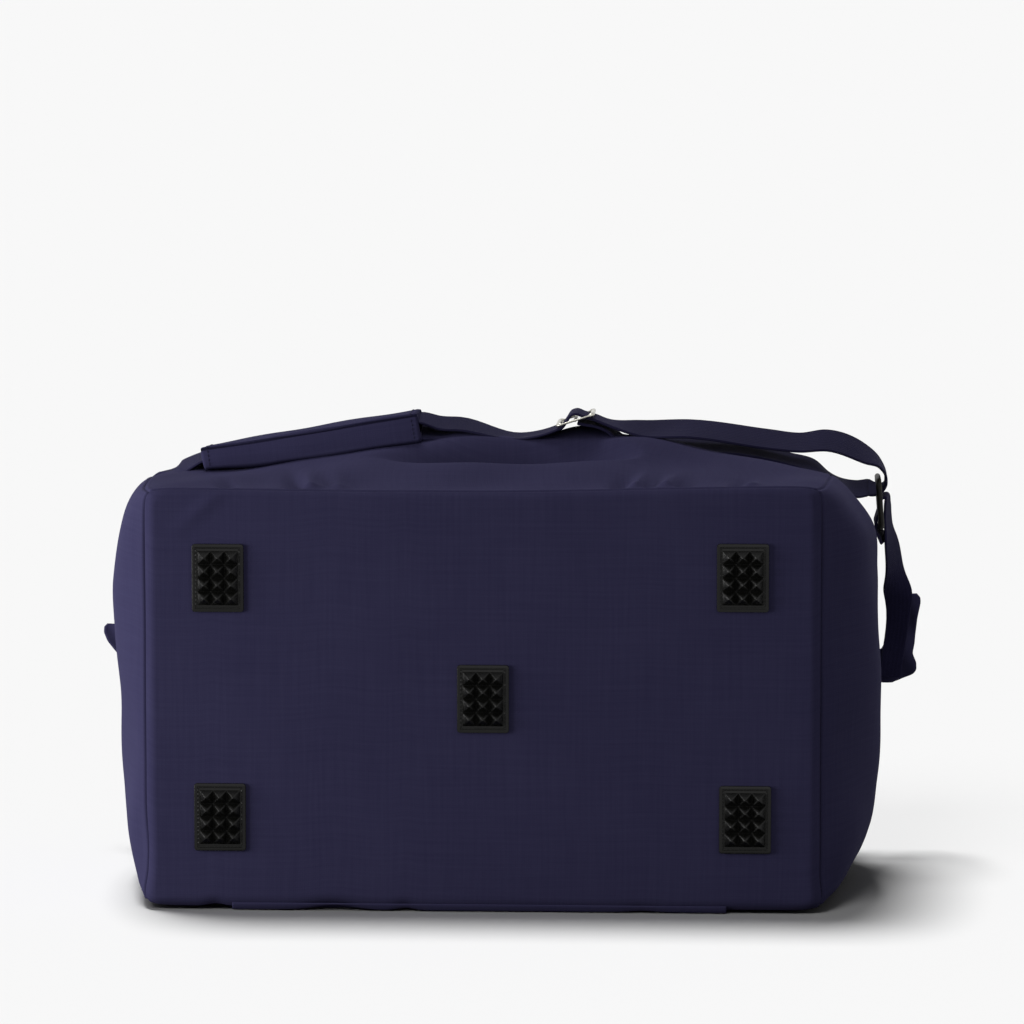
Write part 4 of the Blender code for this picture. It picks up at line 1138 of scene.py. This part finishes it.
# Carry handles: rolled webbing grips, their flat roots turned back over tabs sewn to the shoulder
handle = dict(
    half=.085, reach=.072, tube=.0065, lift=.010, root=.143, corner=.028, legStart=.004, tabLong=.045,
    tabWide=.030, droop=dict(front=0, back=5.3), flatHalf=.0145, flatThick=.0026, flatFrom=.004, flatRun=.024,
    tabHigh=.0013, rootWide=.029, rootThick=.0022, boxFrom=.016, boxLong=.024, boxWide=.022,
    stitch=dict(pitch=.0034, long=.0025, wide=.0008, high=.0008),
)


def boxStitches(start, along, across, normal, long, wide):
    # a sewn box with a cross in it
    corners = [(0, -1), (long, -1), (long, 1), (0, 1), (0, -1)]
    cross = [(0, -1), (long, 1)], [(long, -1), (0, 1)]
    rows = []
    for line in (corners, *cross):
        route = np.array([start + along * a + across * (b * wide / 2) for a, b in line])
        rows.append(stitchRow(route, np.tile(normal, (len(route), 1)), **handle["stitch"]))
    return joined(rows)


def makeHandle(word, side, label):
    depth = (handle["root"] - baseY) / bag["depth"]
    step = .02
    fall = float(slopeZ(np.array(depth - step), side) - slopeZ(np.array(depth), side))
    slope = unit(np.array([0, -step * bag["depth"], fall]))
    normal = np.array([0, abs(slope[2]), side * abs(slope[1])])
    seat = np.array([0, handle["root"], float(slopeZ(np.array(depth), side))])
    axis = seat + normal * handle["lift"]
    droop = radians(handle["droop"][word])
    turned = slope * cos(droop) + normal * sin(droop)
    plane = np.cross(east, turned)
    loop = roundedLoop(handle["half"], handle["reach"], handle["corner"], 9)
    loop = loop[loop[:, 1] > 0]
    legs = np.linspace(handle["legStart"], loop[0, 1], 14)[:-1]
    right = np.stack([np.full_like(legs, handle["half"]), legs], -1)
    flat = np.concatenate([right, loop, right[::-1] * (-1, 1)])
    path = axis + east * flat[:, :1] + turned * flat[:, 1:]
    run = runOf(path)
    rolled = ease((np.minimum(run, run[-1] - run) - handle["flatFrom"]) / handle["flatRun"])[:, None]
    along = np.gradient(path, axis=0)
    across = np.cross(plane, along)
    size = np.concatenate([
        handle["flatHalf"] + (handle["tube"] - handle["flatHalf"]) * rolled,
        handle["flatThick"] / 2 + (handle["tube"] - handle["flatThick"] / 2) * rolled,
    ], 1)
    profile = roundProfile(1, 1, 20)[None] * size[:, None]
    body = f"{word}_handle"
    addWeb(f"web{label}Handle", sweep(path, across, profile), [body], body, 60)
    threads = []
    for end, s in (("left", -1), ("right", 1)):
        low = seat + normal * handle["tabHigh"] + east * s * handle["half"]
        points = [low + slope * a for a in np.linspace(0, handle["tabLong"], 4)]
        tab = webBand(points, [east] * 4, handle["tabWide"], web["thick"], 8)
        addWeb(f"web{label}Tab_{end}", tab, [f"{word}_handle_tab_{end}"])
        top = low + normal * (web["thick"] / 2)
        box = top + slope * handle["boxFrom"]
        threads.append(boxStitches(box, slope, east, normal, handle["boxLong"], handle["boxWide"]))
        lift = handle["lift"] - handle["tabHigh"]
        route = [
            low + normal * .0024 + slope * .012, low + normal * .0024 + slope * .003,
            low + normal * .0030 - slope * .004, low + normal * (lift * .55) - slope * .0072,
            low + normal * (lift - .0006) - slope * .0035, axis + east * s * handle["half"] + turned * .003,
            axis + east * s * handle["half"] + turned * .009,
        ]
        band = webBand(route, [east] * len(route), handle["rootWide"], handle["rootThick"], 6)
        root = addWeb(f"web{label}Root_{end}", band, body=None)
        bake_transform(root)
    addPiece(f"thread{label}Tabs", joined(threads), thread, "bag")


makeHandle("front", 1, "Front")
makeHandle("back", -1, "Back")
print("mouth and handles made")


# The zip's sliders and pulls and the base board keep the frame's solids, with softened edges
def dressNode(name, finish, bevel):
    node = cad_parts[name]
    node.data.materials.clear()
    node.data.materials.append(finish)
    weld = node.modifiers.new("weld", "WELD")
    weld.merge_threshold = .00001
    edge = node.modifiers.new("soft edges", "BEVEL")
    edge.width = bevel
    edge.segments = 2
    edge.limit_method = "ANGLE"
    edge.angle_limit = radians(35)


for word in ("left", "right"):
    dressNode(f"zip_slider_{word}", gunmetal, .0002)
    dressNode(f"zip_pull_{word}", gunmetal, .00025)
dressNode("base_board", board, .0006)


# Stage: a wide pale floor under its own two lamps. The bag is lit by a softbox at the left, a lamp high up at
# the back left and a broad fill from the front right
stage = dict(floorSize=160, floorLow=-.0003, floorSeen=.82, floorBounce=.15, sky=.06, backdrop=.939)
lamps = dict(
    softbox=dict(place=(-1.40, -.56, .28), aim=(-.1, -.05, .16), power=26.5, size=(.9, .7)),
    overhead=dict(rise=61, turn=112, strength=1.48, angle=20, floor=False),
    fill=dict(rise=30, turn=298, strength=.94, angle=100, floor=False),
    floorAbove=dict(rise=75, turn=124, strength=3.16, angle=20, floor=True),
    floorFront=dict(rise=40, turn=250, strength=.55, angle=25, floor=True),
)


def cameraMix(tree):
    # 1 for what the camera sees straight, in a mirror or through glass
    path = addNode(tree, "LightPath")
    kinds = ("Camera", "Glossy", "Transmission")
    straight, mirrored, through = (path.outputs[f"Is {kind} Ray"] for kind in kinds)
    seen = mathOf(tree, "ADD", mathOf(tree, "ADD", straight, mirrored), through)
    return addNode(tree, "Clamp", {0: seen}).outputs[0]


def makeStage():
    half = stage["floorSize"] / 2
    low = stage["floorLow"]
    corners = np.array([(-half, -half, low), (half, -half, low), (half, half, low), (-half, half, low)])
    paint, tree, shader = newFinish("pale studio floor", Roughness=.9, Specular_IOR_Level=0)
    bounce, seen = ((*[stage[key]] * 3, 1) for key in ("floorBounce", "floorSeen"))
    white = addNode(tree, "Mix", {0: cameraMix(tree), 6: bounce, 7: seen}, data_type="RGBA")
    tree.links.new(white.outputs[2], shader.inputs["Base Color"])
    floor = addPiece("studioFloor", (corners, np.array([[0, 1, 2, 3]]), corners[:, :2].copy()), paint, None)
    world = bpy.data.worlds.new("even sky")
    world.use_nodes = True
    scene.world = world
    tree = world.node_tree
    sky = tree.nodes["Background"]
    level = addNode(tree, "Mix", {0: cameraMix(tree), 2: stage["sky"], 3: stage["backdrop"]})
    tree.links.new(level.outputs[0], sky.inputs["Strength"])
    sky.inputs["Color"].default_value = (1, 1, 1, 1)
    for name, look in lamps.items():
        lamp = bpy.data.lights.new(name, "AREA" if "power" in look else "SUN")
        holder = bpy.data.objects.new(name, lamp)
        if "power" in look:
            lamp.shape = "RECTANGLE"
            lamp.size, lamp.size_y = look["size"]
            lamp.energy = look["power"]
            holder.location = look["place"]
            away = np.array(look["aim"]) - look["place"]
            tilt = np.arctan2(away[2], np.hypot(away[0], away[1]))
            holder.rotation_euler = (pi / 2 + tilt, 0, np.arctan2(away[1], away[0]) - pi / 2)
        else:
            lamp.energy, lamp.angle = look["strength"], radians(look["angle"])
            holder.rotation_euler = (0, radians(look["rise"] - 90), radians(look["turn"] - 180))
        scene.collection.objects.link(holder)
        lit = bpy.data.collections.new(name + " on the floor")
        lit.objects.link(floor)
        lit.collection_objects[0].light_linking.link_state = "INCLUDE" if look.get("floor") else "EXCLUDE"
        holder.light_linking.receiver_collection = lit


makeStage()
print("stage lit")
